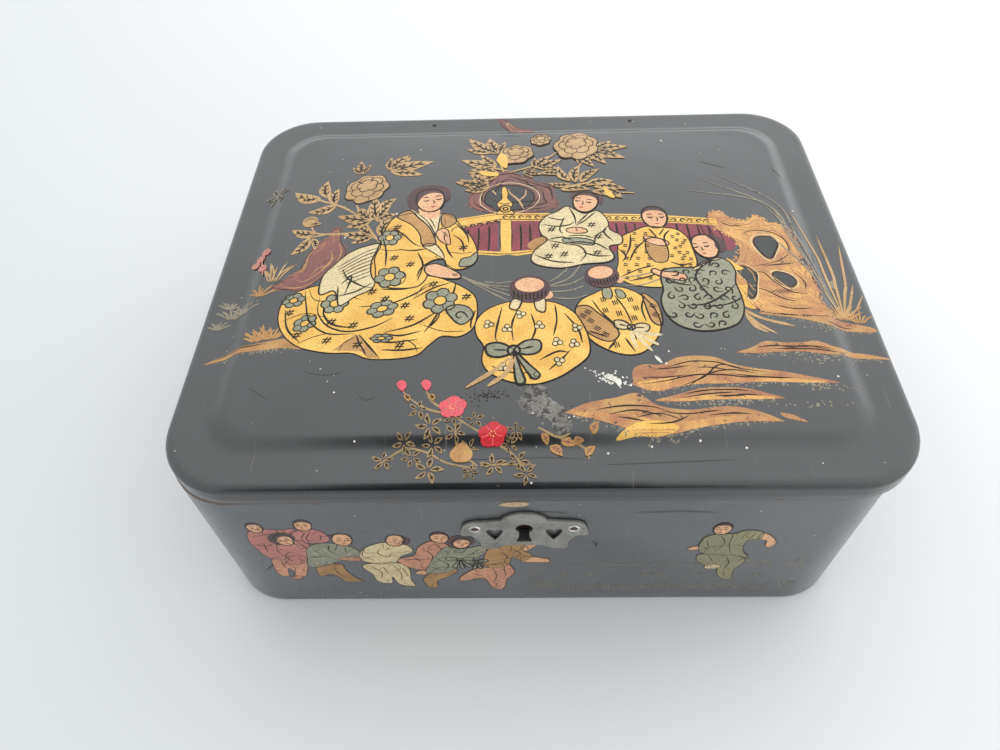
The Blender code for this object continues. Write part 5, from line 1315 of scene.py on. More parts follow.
    hand = [(-36.8, 9.5), (-34.6, 11.6), (-32.4, 11), (-31.4, 7), (-31, 2.6), (-33.4, 3.4), (-35.6, 5.8)]
    outlined(sheet, "skin", hand, 0.38)
    for k in range(3):
        stroke(sheet, "ink", [(-34.4 + 0.8 * k, 10.6 - 0.7 * k), (-33.6 + 0.7 * k, 8.0 - 0.8 * k)], 0.2)
        stroke(sheet, "ink", [(-27.2, -13.6 - 0.5 * k), (-29.6, -13.0 - 0.5 * k)], 0.2)
    stroke(sheet, "ink", [(-33, 10), (-33.4, 6), (-32, 3)], 0.3)
    fill(sheet, "skin", [(-44.6, 26), (-36.6, 24), (-36.4, 19.6), (-40, 18), (-44, 22)])
    head(sheet, (-40.2, 29.6), 7.4, turn=8, look=0.12, hair="full")
    return finishSheet(sheet)


def paintStrings():
    sheet = newSheet("pulledStrings", onLid, "lid", base=0.10)
    grip = np.array([-27.4, -13.8])
    for end, sag in (((-8.4, -22.4), 1.8), ((-8.6, -24.6), 1.0), ((-9.4, -27), 0.4), ((-8, -20.4), 3.2)):
        end = np.array(end, float)
        stroke(sheet, "faint", [grip, grip * 0.5 + end * 0.5 - (0, sag * 0.5), end], 0.55, 0.1)
    for start, middle, end in (((5.6, -18), (9, -15.4), (13, -10.4)),
            ((5.8, -20), (12.6, -16.5), (17, -10)), ((6, -20.5), (12.6, -19.4), (18, -16)),
            ((5.6, -23), (12, -22.6), (17.6, -20.4)), ((6, -25.6), (13, -26.4), (19, -24.6)),
            ((-18, -17.6), (-12, -18.4), (-8, -17.6)), ((31.6, -20), (38, -20), (47, -16)),
            ((30, -17), (38, -15), (45, -13))):
        stroke(sheet, "faint", [start, middle, end], 0.6, 0.2)
    stroke(sheet, "faint", [(-27.4, -13.8), (-21, -18.6), (-13, -24.8)], 0.5, 0.1)
    return finishSheet(sheet)


def paintFirstChild():  # seen from behind, white rings on gold
    sheet = newSheet("childRings", onLid, "lid", base=0.16)
    robe = [(-14.5, -29.6), (-18.6, -33), (-20.6, -37.5), (-20, -42.5), (-17.6, -47), (-18, -53),
        (-15.6, -57.6), (-9, -61.2), (-1, -62.4), (6, -60.4), (12, -56.6), (17.4, -51.4), (18, -45),
        (16.4, -38.6), (13.4, -32.6), (8, -28.6), (2, -27.2), (-8, -27.4)]
    outlined(sheet, "gold", robe, 0.38)
    for path in ([(-11.4, -30), (-12.6, -36), (-13.6, -43), (-12.6, -46)],
            [(7, -29), (7.4, -36), (6, -43)], [(-6, -31), (-8, -38), (-7.6, -45)],
            [(-17.6, -47), (-14, -49), (-12, -50.4)], [(10, -33), (14.4, -40), (15.6, -46)],
            [(1, -53), (7, -49.6), (11, -50)], [(-15, -55), (-9, -57.6), (-3, -58)],
            [(4, -57), (9, -52), (11.4, -49)], [(-1.4, -33), (0, -40), (-2, -46)]):
        stroke(sheet, "ink", path, 0.5)
    for at, turn in (((-16, -37.6), 20), ((-9.6, -39.6), 0), ((-5, -33.4), 40), ((1.4, -38.4), 0),
            ((7.2, -45.6), 15), ((14, -39.6), 30), ((12.8, -46.4), 10), ((-11, -55.6), 0),
            ((7.6, -53.6), 50), ((-1, -58.6), 30)):
        ringTriplet(sheet, at, 0.95, turn)
    bow(sheet, (-7.4, -49), 8.6, 5, "greyGreen", 2)
    for path in ([(-9, -52), (-14, -57), (-23, -63.4)], [(-7, -52), (-10, -58), (-16, -63)],
            [(-8, -51), (-9, -56), (-12, -60)]):
        stroke(sheet, "paleOchre", path, 1.5, 0.5)
        stroke(sheet, "ink", path, 0.3, 0.5)
    for collar in ([(-7.6, -26.6), (-4.4, -26.4), (-6, -31.2), (-8.8, -30.4)],
            [(0, -26.8), (3.6, -26.4), (3.4, -32.4), (0.6, -31.4)]):
        fill(sheet, "cream", collar, curved=False)
        stroke(sheet, "ink", collar, 0.35, closed=True)
    fill(sheet, "skin", circle((4.6, -24.6), 2.0, 10))
    headFromBack(sheet, (-1.6, -21.6), 7.2)
    return finishSheet(sheet)


def paintSecondChild():  # seen from behind, striped brown sleeves on gold
    sheet = newSheet("childStripes", onLid, "lid", base=0.14)
    robe = [(21, -24), (16, -27.4), (13.8, -33), (15.6, -40), (20, -46.4), (27.4, -50.6), (34, -50.8),
        (39, -47), (42.6, -40), (42, -33), (38.4, -26), (33, -21.8), (27, -21)]
    outlined(sheet, "gold", robe, 0.38)
    sleeve = [(14, -31), (18.4, -29.8), (22, -33.4), (26.4, -38), (28.2, -42.6), (25, -45.6),
        (19.6, -43.4), (15.6, -38.4)]
    outlined(sheet, "ochre", sleeve, 0.4)
    other = [(38, -24), (42.4, -28), (43.6, -34), (43, -38.6), (40, -37), (38.6, -31)]
    outlined(sheet, "ochre", other, 0.4)
    for at in ((16.6, -34.4), (19, -36.6), (21, -40), (23.6, -42.6), (18.4, -32.6), (41, -30), (41.6, -34)):
        place(sheet, at, -35)
        for k in (-0.7, 0, 0.7):
            stroke(sheet, "ink", [(-1.3, k), (1.3, k)], 0.32, 0.4)
    for at in ((24, -27), (28, -28.4), (33.4, -27), (35, -31), (29, -33.4), (24.4, -32), (33, -44),
            (27, -47), (34, -35.4)):
        place(sheet, at, -78)
        for k in (-0.7, 0, 0.7):
            stroke(sheet, "ink", [(-1.2, k), (1.2, k)], 0.32, 0.4)
    place(sheet)
    for path in ([(28, -25), (31, -31), (33, -38)], [(20, -27), (23, -33), (28, -39)],
            [(27, -45), (24, -49)], [(38.6, -25), (37, -31), (38, -37)], [(18, -41), (24, -43.6)],
            [(30, -44), (33, -50)]):
        stroke(sheet, "ink", path, 0.5)
    bow(sheet, (32.6, -39.6), 5.6, -10, "cream", 0)
    for path in ([(33.5, -40.6), (38, -42.4), (42.4, -42.8)], [(33, -41), (38, -45), (41, -47)],
            [(33, -41), (36, -46), (38.6, -49.6)], [(32.4, -41), (32.6, -45), (33.8, -48.6)]):
        stroke(sheet, "cream", path, 1.25, 0.4)
        stroke(sheet, "ink", path, 0.3, 0.5)
    for collar in ([(24.2, -21.6), (27, -21.8), (27, -26.2), (24.2, -26.2)],
            [(28.6, -22.2), (31, -22.8), (32, -25.8), (29.4, -26.2)]):
        fill(sheet, "greyGreen", collar, curved=False)
        stroke(sheet, "ink", collar, 0.35, closed=True)
    fill(sheet, "skin", circle((30.4, -17.4), 1.6, 10))
    headFromBack(sheet, (24.4, -15.4), 6.3, turn=12)
    return finishSheet(sheet)


def paintThirdChild():  # kneels facing us, in cream
    sheet = newSheet("childCream", onLid, "lid", base=0.14)
    robe = [(14, 23.6), (10, 20.6), (5.4, 17.6), (2.6, 12.4), (3.4, 7), (5.6, 4), (1, -1), (-0.8, -6.6),
        (2.4, -9.8), (10.4, -11.2), (19, -9.2), (26.6, -8.4), (29.8, -5.6), (28.4, 0), (33, 1.6),
        (33.4, 6), (29.4, 9.6), (28.8, 15.6), (25.4, 20.6), (20, 19)]
    outlined(sheet, "cream", robe, 0.4)
    side = [(3.4, 5.6), (-0.6, 3.4), (-2, 0.4), (1.2, -1.6), (5, 3.6)]
    fill(sheet, "ochre", side)
    for path in ([(14.6, 23), (16.4, 17), (16.6, 12.4)], [(24.6, 20), (20.4, 15), (16.6, 12)],
            [(22, 19.4), (19, 15.4), (17, 13)], [(6, 17), (11, 15.4), (13, 16)],
            [(4, 13), (9, 11.6), (14, 12.4), (16, 14)], [(5.6, 4), (11, 5.4), (15, 3.4)],
            [(13, 6), (19, 6.2), (23, 4.6)], [(12.4, 2.2), (18, 2.6), (22.6, 1.4)],
            [(5.4, 3.8), (12, 1.8), (17.4, 0.2), (19.4, -4), (17, -8)],
            [(20, 2.4), (24, 1.4), (28, -2)], [(0.4, -4), (7, -7.6), (15, -8.6)],
            [(28, 9.6), (24, 6), (23, 1.6)], [(29, 12), (27, 8), (30, 3)],
            [(18.4, -3), (23, -5), (28.6, -5)], [(12.4, 17), (10.4, 10), (11.6, 7)]):
        stroke(sheet, "ink", path, 0.48)
    belt = [(11.6, 4.6), (18, 4.8), (22.6, 3.2), (22.4, 0.8), (17, 1.6), (11.8, 2.6)]
    outlined(sheet, "greyGreen", belt, 0.35)
    for at in ((8.4, 0.6), (5.6, -5), (24.6, 5.6), (22.6, 12.4), (23.6, -3.4), (7.4, 10), (11.4, -4)):
        hatch(sheet, at, 3.4)
    hands = [(13, 10), (16.4, 11), (20, 10), (20.6, 8), (16.6, 7.4), (13.4, 8.2)]
    outlined(sheet, "skin", hands, 0.35)
    stroke(sheet, "ink", [(16.4, 10.8), (17.2, 8.6)], 0.3)
    head(sheet, (21.2, 26.4), 6.4, turn=-14, look=-0.14)
    place(sheet, (21.2, 26.4), -14, 6.4)
    fill(sheet, "hair", [(-0.95, 0.1), (-1.0, 0.6), (-0.6, 0.95), (0.1, 1.18), (0.75, 1.0), (1.05, 0.5),
        (0.95, -0.1), (0.72, 0.3), (0.3, 0.72), (-0.3, 0.7), (-0.72, 0.4)])
    place(sheet)
    return finishSheet(sheet)


def paintFourthChild():  # sits behind, dashed gold cloth
    sheet = newSheet("childDashes", onLid, "lid", base=0.10)
    robe = [(43.4, 11.4), (38, 8.6), (33, 5), (31.4, -1), (31, -8), (30, -13), (31.6, -17.4),
        (36, -20.2), (44, -21), (50, -20), (56, -14.6), (59.6, -9), (59.4, -2), (58.4, 5), (54.8, 9.8),
        (50.6, 10.8)]
    outlined(sheet, "gold", robe, 0.4)
    rows = [(x + 0.8 * (k % 2), y) for k, y in enumerate(np.arange(-16.5, 8, 3.4)) for x in (33.5, 37.6,
        41.8, 54, 57)]
    ring = np.asarray(robe, float)
    rows = np.asarray(rows)
    dashes(sheet, rows[insideOf(rows, ring) & insideOf(rows + (1.4, 0),
        ring) & insideOf(rows - (1.4, 0), ring)], 1.5)
    dashes(sheet, [(52.6, 5.8), (56, 2.4), (52.8, -0.6), (55.6, -4.6), (51, -4.8)], 1.5)
    apron = [(43, 4.4), (48.6, 4), (50, -2), (48.8, -7.6), (44.4, -8), (41.8, -2)]
    outlined(sheet, "ochre", apron, 0.38)
    for path in ([(44, 10.4), (46, 6.6), (46.6, 4.4)], [(50, 10.4), (47.6, 6.4)],
            [(52, 9.6), (49.6, 6), (49.4, 1)], [(37, 7), (36, 0), (33.6, -6)],
            [(31.6, -1), (34, -5), (32.6, -8)], [(42.6, 4), (38, -1.4), (35, -8)],
            [(50, -8), (54, -9.6), (58.6, -8)], [(31, -16), (38, -12), (44, -10)],
            [(34, -18), (42, -15.4), (48, -11)]):
        stroke(sheet, "ink", path, 0.48)
    arm = [(41.8, 5.8), (46, 5.2), (50, 3.4), (50.6, 1.2), (47.4, 0.6), (43, 2.4)]
    outlined(sheet, "skin", arm, 0.38)
    head(sheet, (47.2, 17), 6.4, turn=2, look=0.08)
    return finishSheet(sheet)


def paintFifthChild():  # turned to the left, grey-green cloth with scrolls
    sheet = newSheet("childScrolls", onLid, "lid", base=0.17)
    tail = [(71, -5.4), (74.6, -9), (76.4, -10.6), (73.6, -11.6), (71, -10)]
    fill(sheet, "gold", tail)
    robe = [(67.4, -5.4), (62, -8.6), (58, -10.8), (52, -11), (46.8, -12.4), (45.4, -16.6), (45.6, -22),
        (44.2, -27.4), (45.2, -33.4), (49, -38.6), (56, -40.9), (63.6, -40), (69.6, -37), (72.6, -31),
        (72.8, -24), (72, -18), (73, -12), (71.4, -7)]
    outlined(sheet, "greyGreen", robe, 0.45)
    for path in ([(62, -8.6), (59.6, -12), (58, -16), (60, -22), (63.6, -28)],
            [(72.4, -18), (68, -23), (60, -28.6), (52, -29.6)], [(72.6, -26), (66, -29), (58, -30)],
            [(46, -16), (51, -19), (57.6, -20)], [(65, -7), (63.6, -10)]):
        stroke(sheet, "ink", path, 0.55)
    rng = sheet["random"]
    spots = [(x + 1.6 * (k % 2) + rng.uniform(-0.5, 0.5), y + rng.uniform(-0.4, 0.4))
             for k, y in enumerate(np.arange(-38, -9, 4.1)) for x in np.arange(46.5, 72, 4.5)]
    spots = np.asarray(spots)
    ring = np.asarray(robe, float)
    around = [insideOf(spots + way, ring) for way in ((2, 0), (-2, 0), (0, 1.6), (0, -1.6))]
    inside = np.all(around, 0)
    for k, at in enumerate(spots[inside]):
        scroll(sheet, tuple(at), 1.45, turn=rng.uniform(0, 360), flip=1 if k % 2 else -1)
    collar = [(67, -5), (61.6, -8), (58.8, -10.4), (57.4, -12.6), (60.4, -11), (64.6, -7.4), (68.6, -6)]
    outlined(sheet, "cream", collar, 0.35)
    arm = [(43.4, -11.6), (46.6, -13), (51, -13.4), (54.6, -14.6), (54.2, -17.4), (49.6, -17),
        (45.4, -15.6), (42.6, -13.6)]
    outlined(sheet, "skin", arm, 0.38)
    head(sheet, (64.2, 0.8), 6.4, turn=10, look=-0.26, hair="side")
    return finishSheet(sheet)


for picture in (paintFence, paintRocks, paintGround, paintGrass, paintPlants, paintBlossoms,
        paintDamage, paintWoman, paintStrings, paintFirstChild, paintSecondChild, paintThirdChild,
        paintFourthChild, paintFifthChild):
    made = picture()
    print(made.name, len(made.data.polygons))


# running children on the case, millimetres along the face and up it

chain = {
    "reaching": {
        "parts": [
            ("dustyPink", [(-94, 38), (-95.5, 30), (-95, 24), (-92, 23), (-90.6, 30), (-88, 24), (-92,
                21.4), (-88, 20.6), (-85, 27), (-83.6, 35), (-86, 40)]),
            ("rose", [(-97, 58.6), (-92.6, 60.6), (-86, 60), (-81.6, 60.8), (-82, 57.6), (-88, 56.4),
                (-90, 50), (-88.4, 42), (-88, 38), (-95, 38.4), (-97.6, 46), (-98.6, 52)]),
        ],
        "lines": [
            [(-96, 55), (-92, 56.6), (-86, 58)], [(-94, 50), (-94.4, 43)], [(-91.6, 37), (-91.4, 30)],
            [(-97, 49), (-92, 48)], [(-87.4, 60), (-86.4, 56.8)], [(-85.4, 60), (-84.6, 57.4)]],
        "head": (-94, 61.6, 3.5, 8, 0.15, "cap"),
    },
    "striped": {
        "parts": [
            ("rose", [(-84, 56.6), (-80, 59.4), (-75, 60.4), (-71.4, 57), (-71, 52), (-75, 50), (-80,
                50.6), (-83.6, 53)]),
        ],
        "lines": [
            [(-78, 58), (-80, 54), (-79.4, 51)], [(-76, 58.6), (-78.4, 54), (-78, 51)], [(-73, 56),
            (-74, 52)]],
        "head": (-77.6, 63, 3.9, -8, -0.1, "cap"),
    },
    "crouching": {
        "parts": [
            ("dustyPink", [(-90, 37), (-88, 30), (-89.6, 24), (-86, 22.6), (-83.6, 29), (-82, 36), (-84,
                41)]),
            ("rose", [(-89, 50.6), (-84, 52.4), (-79.4, 50.6), (-78, 44), (-80, 38.6), (-85, 33.6),
                (-90.6, 33.6), (-88.6, 38), (-90.6, 44)]),
        ],
        "lines": [
            [(-82.6, 51.6), (-80, 46), (-80.4, 42)], [(-84.4, 52), (-82, 47)], [(-86, 44), (-89, 40),
            (-87, 35)], [(-81, 49), (-79.4, 45)]],
        "head": (-86.4, 52.6, 4.1, 14, -0.05, "full"),
    },
    "patterned": {
        "parts": [
            ("ochre", [(-79.6, 30.6), (-71, 33.4), (-69.6, 27), (-66.6, 19.6), (-64.6, 17.6), (-71,
                17.4), (-73.6, 22), (-76, 24.6), (-80, 22.6), (-80.4, 26)]),
            ("greyGreen", [(-80, 46), (-76, 49.4), (-71.6, 50), (-66, 48), (-62.4, 44), (-62.6, 38),
                (-66, 36.4), (-71, 35.6), (-76, 32), (-82.6, 31), (-81.6, 38)]),
        ],
        "lines": [
            [(-72, 49), (-72.6, 44), (-70, 41)], [(-69, 48.6), (-70.6, 44)], [(-81, 38), (-75, 40),
            (-71, 36)], [(-74, 31), (-73, 25), (-70.6, 20)], [(-66.6, 47), (-67, 42)], [(-78, 45), (-76,
            41)]],
        "marks": [(-78, 42), (-76, 37), (-79, 34), (-74, 45), (-73, 38), (-66, 41), (-69, 38.6)],
        "head": (-66.6, 52.4, 4.5, -6, 0.12, "tuft"),
    },
    "bending": {
        "parts": [
            ("cream", [(-62.8, 32), (-60.6, 24), (-59.4, 17.6), (-54.6, 16), (-53.6, 22), (-51.6, 14.8),
                (-46, 13.4), (-47, 19), (-46.6, 29), (-51, 34)]),
            ("cream", [(-56.6, 48.6), (-51, 50.4), (-45, 48), (-43.6, 43), (-48, 39.6), (-50, 35), (-54,
                32.6), (-62, 35.6), (-62.8, 40), (-60.6, 45)]),
            ("dustyPink", [(-70, 38.6), (-64, 38.8), (-62.4, 36.6), (-65, 35.6), (-70, 36.6)]),
        ],
        "lines": [
            [(-60, 46), (-61.6, 40), (-58, 36)], [(-54, 47), (-56, 42), (-53, 39), (-51, 42)], [(-51,
            47), (-53, 44)], [(-60, 31), (-57, 26), (-58, 20)], [(-52, 32), (-50, 25), (-50.6, 18)],
            [(-56, 31), (-54.6, 25)], [(-62, 35), (-56, 33), (-50, 36)], [(-49, 30), (-47.6, 22)]],
        "head": (-48.6, 51.6, 4.2, -16, 0.3, "side"),
    },
    "pushing": {
        "parts": [
            ("skin", [(-43, 27), (-44.6, 24.6), (-41, 23.6), (-39.4, 27)]),
            ("dustyPink", [(-41, 47), (-36, 51), (-31, 48), (-31, 42), (-34.6, 37), (-38, 32), (-41,
                28), (-44, 28.6), (-48.4, 32), (-49.6, 36.6), (-45, 39), (-43, 41)]),
        ],
        "lines": [
            [(-40, 45), (-37, 40), (-38, 35)], [(-35, 49), (-33, 44)], [(-48, 37), (-43, 36.6), (-38,
            37)], [(-44, 39), (-41, 34)]],
        "head": (-33.4, 53.4, 4.1, 4, 0.1, "cap"),
    },
    "bowed": {
        "parts": [
            ("ochre", [(-40, 24), (-42.4, 18.6), (-40.6, 12), (-37.6, 12.6), (-37, 18), (-32, 22.6),
                (-29, 28), (-35, 30)]),
            ("greyGreen", [(-31.6, 46.6), (-26, 45), (-19, 47.4), (-17.8, 43), (-21, 38.4), (-26, 33),
                (-33, 25.6), (-40.6, 25), (-39, 32), (-36, 39.6), (-33.6, 44)]),
        ],
        "lines": [
            [(-30, 46), (-27, 41.6), (-24, 46.6)], [(-28.6, 46), (-26.4, 43)], [(-36, 38), (-32, 32),
            (-34, 27)], [(-38, 30), (-35, 27)], [(-20, 45), (-24, 40)]],
        "bow": (-27.6, 36.4, 4.6, 0),
        "head": (-26.2, 49.6, 4.0, -10, 0.12, "full"),
    },
    "leading": {
        "parts": [
            ("skin", [(-6, 46), (-2.6, 49), (-0.4, 51), (1, 50), (-1.6, 46), (-4.4, 43)]),
            ("skin", [(-5, 38.6), (0, 37.8), (4, 36), (3.6, 33.8), (-2, 34), (-6, 35)]),
            ("dustyPink", [(-20, 30), (-25, 26), (-29, 19.6), (-26.4, 18), (-22, 20), (-19, 19.4), (-17,
                12), (-13.6, 9.6), (-12, 13), (-11, 19.6), (-8.6, 24), (-8.6, 28), (-12, 34)]),
            ("ochre", [(-17.6, 43.6), (-14, 47.6), (-8, 48), (-4.6, 47.6), (-5, 43.4), (-2, 39.6), (-5,
                35), (-9, 38), (-10, 33), (-13, 29.6), (-19, 30), (-19, 37)]),
        ],
        "lines": [
            [(-13, 43), (-10.6, 38), (-13, 36)], [(-9, 45), (-6, 41), (-8, 38)], [(-4.4, 47.6), (-3,
            44.6)], [(-19, 32), (-12, 32.6)], [(-16, 29), (-15, 22), (-16.4, 16)], [(-12, 29), (-11.6,
            22)], [(-14, 46), (-12, 44)], [(-24, 25), (-20, 22)]],
        "bow": (-21.6, 34.4, 3.8, 8),
    },
    "alone": {
        "parts": [
            ("olive", [(56, 39), (61, 40), (68, 39), (73, 35.6), (72.6, 31), (71, 26), (71.6, 18.4),
                (68.6, 18.6), (65.6, 23), (64.6, 28), (61, 30), (56.6, 34)]),
            ("cream", [(60.6, 31), (65, 30.6), (65.4, 28), (61.4, 27.4), (60, 28.6)]),
            ("skin", [(74.6, 55.4), (78, 53), (80.6, 48.6), (79.6, 45), (77.4, 46), (77, 50), (73.6,
                51.6)]),
            ("skin", [(55, 46), (52.4, 45), (51.4, 43.6), (54, 43), (58, 44.6)]),
            ("olive", [(56, 52.6), (60, 55), (65, 55), (69, 57.6), (74.6, 56), (74.4, 51), (70.6, 50.4),
                (70.6, 43), (74, 36.4), (69, 38.6), (62, 39), (56.6, 41), (55, 46)]),
        ],
        "lines": [
            [(61, 54), (63.4, 48), (61, 41)], [(65, 55), (65, 48), (67, 40)], [(57, 50), (58.6, 45)],
            [(69, 53), (71.6, 52)], [(66, 38), (68, 32), (67, 26)], [(60, 38), (62, 34)], [(72, 55),
            (71, 52)]],
        "head": (60.6, 58.6, 3.9, -6, -0.1, "cap"),
    },
}


def drawFigure(sheet, figure):
    for finish, outline in figure["parts"]:
        place(sheet)
        fill(sheet, finish, outline, 0.8)
        stroke(sheet, "ink", outline, 0.22, closed=True)
        if finish != "skin":
            folds(sheet, outline, 5, 0.7, 0.22)
    for line in figure["lines"]:
        stroke(sheet, "ink", line, 0.34)
    if "marks" in figure:
        dots(sheet, "cream", figure["marks"], 0.5)
    if "bow" in figure:
        x, y, size, turn = figure["bow"]
        bow(sheet, (x, y), size, turn)
    if "head" in figure:
        x, y, size, turn, look, hair = figure["head"]
        head(sheet, (x, y), size, turn, look, hair)


def wornGround(sheet, start, end, rng):  # grass tufts, a ground line and rubbed traces
    for x in np.arange(start, end, 6.5):
        tuft(sheet, (x + rng.uniform(-2, 2), rng.uniform(7.5, 12)), rng.uniform(6, 9.5), 6, 42, "faint",
            0.4)
    for x in np.arange(start, end, 12):
        tuft(sheet, (x + rng.uniform(-4, 4), rng.uniform(19, 22)), 4.2, 5, 40, "faint", 0.32)
    stroke(sheet, "faint", [(start, 30.5), ((start + end) / 2 - 8, 31.6), (end - 14, 31)], 0.5, 0.9)


def onFace(x, z, lift=0.0):  # the case's faces: x runs on round the corners
    return onWall(x + lidShift, z, lift)


def paintCase():
    made = []
    rng = np.random.default_rng(21)
    front = newSheet("frontFrieze", onFace, "case", base=0.04, fine=False)
    wornGround(front, 0, 96, rng)
    place(front)
    dots(front, "faint", np.stack([rng.uniform(74, 97, 46), rng.uniform(28, 36, 46)], -1), 0.55)
    for name in ("reaching", "striped", "crouching", "patterned", "bending", "pushing", "bowed",
            "leading", "alone"):
        drawFigure(front, chain[name])
    stroke(front, "ink", [(18, 50), (20, 48.4), (19.6, 46)], 0.3)
    for path in ([(-6, 70.6), (2, 71.2), (10, 70.2)], [(30, 70), (46, 70.8), (58, 69.4)],
            [(-95, 33), (-99, 28)]):
        stroke(front, "hairline", path, 0.4, 0.95)
    fill(front, "woodChip", [(-12.6, 76), (-10, 77.6), (-5, 77.8), (-3, 76.6), (-5, 75.2), (-9, 75)])
    dots(front, "chalk", np.array([(-68, 7.6), (-59, 70), (13, 69), (70, 71), (92, 53.6), (86, 43)]), 0.3)
    made.append(finishSheet(front))
    around = {"leftFrieze": (-206, (("alone", -238, 0), ("patterned", -287, 1), ("bending", -293, 1))),
        "rightFrieze": (206, (("alone", 240, 1), ("reaching", 312, 0), ("crouching", 322, 0))),
        "backFrieze": (0, (("patterned", 417, 0), ("bending", 422, 0), ("alone", -410, 0)))}
    for name, (middle, members) in around.items():
        sheet = newSheet(name, onFace, "case", base=0.04, fine=False)
        spans = [(middle - 66, middle + 66)] if middle else [(290, 370), (-372, -290)]
        for start, end in spans:
            wornGround(sheet, start, end, rng)
        for who, shift, mirrored in members:
            sheet["base"] = ((shift, 0), 0.0, 1.0, -1 if mirrored else 1)
            drawFigure(sheet, chain[who])
        made.append(finishSheet(sheet))
    return made


for picture in paintCase():
    print(picture.name, len(picture.data.polygons))


# tray, silk and hardware

silkLook = {"ribs": 5200.0, "threads": 11000.0, "deep": (0.27, 0.018, 0.028),
    "faded": (0.42, 0.06, 0.06), "shine": (0.55, 0.12, 0.11)}


def ribbedSilk():
    made, tree, shader, at = newMaterial("crimsonSilk", **{"Sheen Weight": 0.35, "Sheen Roughness": 0.4})
    split = addNode(tree, "ShaderNodeSeparateXYZ", {0: at})
    ribs = maths(tree, "SINE", maths(tree, "MULTIPLY", split.outputs["Y"], silkLook["ribs"]))
    threads = maths(tree, "SINE", maths(tree, "MULTIPLY", split.outputs["X"], silkLook["threads"]))
    weave = maths(tree, "ADD", ribs, maths(tree, "MULTIPLY", threads, 0.35))
    fade = noise(tree, at, 22.0, 4.0, 0.6, 0.4)
    body = mixed(tree, ranged(tree, fade, 0.3, 0.75), rgb(*silkLook["deep"]), rgb(*silkLook["faded"]))
    body = mixed(tree, ranged(tree, weave, -1.0, 1.0, 0.0, 0.35), body, rgb(*silkLook["shine"]))
    tree.links.new(body, shader.inputs["Base Color"])
    tree.links.new(ranged(tree, fade, 0.3, 0.7, 0.42, 0.6), shader.inputs["Roughness"])
    creases = noise(tree, stretched(tree, at, (55, 120, 90), 0.4), 1.0, 3.0, 0.5, 0.8)
    height = maths(tree, "ADD", maths(tree, "MULTIPLY", weave, 0.10), maths(tree, "MULTIPLY", creases, 1.6))
    bumped(tree, shader, height, 0.5, 0.0004)
    return made


silk = ribbedSilk()
trayLacquer = lacquer("trayLacquer", (0.13, 0.010, 0.007), 0.18, scratches=0.5)


def bevelled(node, name, finish, width):  # the CAD solid welded, flat faces joined, edges rounded
    piece = mergedFromCad(node, name, [finish])
    shape = bmesh.new()
    shape.from_mesh(piece.data)
    bmesh.ops.dissolve_limit(shape, angle_limit=math.radians(1.5), verts=shape.verts, edges=shape.edges)
    sharp = [e for e in shape.edges if len(e.link_faces) == 2 and e.calc_face_angle(0) > math.radians(40)]
    bmesh.ops.bevel(shape, geom=sharp, offset=width * mm, segments=2, profile=0.6, affect="EDGES",
        clamp_overlap=True)
    shape.to_mesh(piece.data)
    shape.free()
    piece.data.polygons.foreach_set("use_smooth", np.ones(len(piece.data.polygons), bool))
    piece.data.set_sharp_from_angle(angle=math.radians(32))
    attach(piece, bodyOf[node])
    return piece


clothLook = {"quality": 5, "mass": 0.15, "tension_stiffness": 12, "compression_stiffness": 8,
    "shear_stiffness": 4, "bending_stiffness": 0.02, "use_pressure": True,
    "uniform_pressure_force": 4.0, "vertex_group_mass": "held"}
clothFrames = 15
cushions = {"pad": {"round": 3.0, "stretch": 0.03, "limit": 0.9},
    "roll": {"round": 6.4, "stretch": 0.05, "limit": 0.7}, "lidPad": {"round": 4.0, "stretch": 0.05,
    "limit": 1.6}}


def cushionMesh(low, high, corners, bend, steps, down=False):
    # a top sheet over a rectangle: height H sqrt(1 - (1 - e / R)^2) at a distance e < R from the edge;
    # its corners are drawn in from a square to a circle, and it is closed by a side and a flat back
    t = [np.linspace(0, 1, n) for n in steps]
    t = [0.45 * v + 0.55 * (0.5 - 0.5 * np.cos(math.pi * v)) for v in t]
    x, y = (v.ravel() for v in np.meshgrid(*t, indexing="ij"))
    wide, deep = high[0] - low[0], high[1] - low[1]
    x, y = low[0] + x * wide, low[1] + y * deep
    edge = np.minimum(np.minimum(x - low[0], high[0] - x), np.minimum(y - low[1], high[1] - y))
    rise = np.sqrt(np.clip(1 - (1 - np.clip(edge / bend, 0, 1)) ** 2, 0, 1))
    for radius, cx, cy, sx, sy in ((corners[0], low[0], low[1], 1, 1),
            (corners[1], high[0], low[1], -1, 1), (corners[2], high[0], high[1], -1, -1),
            (corners[3], low[0], high[1], 1, -1)):
        ox, oy = cx + sx * radius, cy + sy * radius
        dx, dy = (x - ox) * -sx, (y - oy) * -sy
        inside = (dx > 0) & (dy > 0)
        pull = np.where(inside, np.maximum(dx, dy) / np.maximum(np.hypot(dx, dy), 1e-9), 1)
        x, y = np.where(inside, ox + (x - ox) * pull, x), np.where(inside, oy + (y - oy) * pull, y)
    back, face = (high[2], low[2]) if down else (low[2], high[2])
    z = back + (face - back) * (0.12 + 0.88 * rise)
    top = np.column_stack([x, y, z])
    n, m = steps
    index = np.arange(n * m).reshape(n, m)
    loop = np.concatenate([index[:, 0], index[-1, 1:], index[-2::-1, -1], index[0, -2:0:-1]])
    base = top[loop] * (1, 1, 0) + (0, 0, back)
    faces = np.array(gridFaces(n, m))
    k = np.arange(len(loop))
    side = np.stack([loop[k], loop[(k + 1) % len(loop)], n * m + (k + 1) % len(loop), n * m + k], -1)
    faces = faces[:, ::-1].tolist() + side[:, ::-1].tolist() + [(n * m + k).tolist()]
    return np.concatenate([top, base]), faces, np.concatenate([loop, n * m + k])


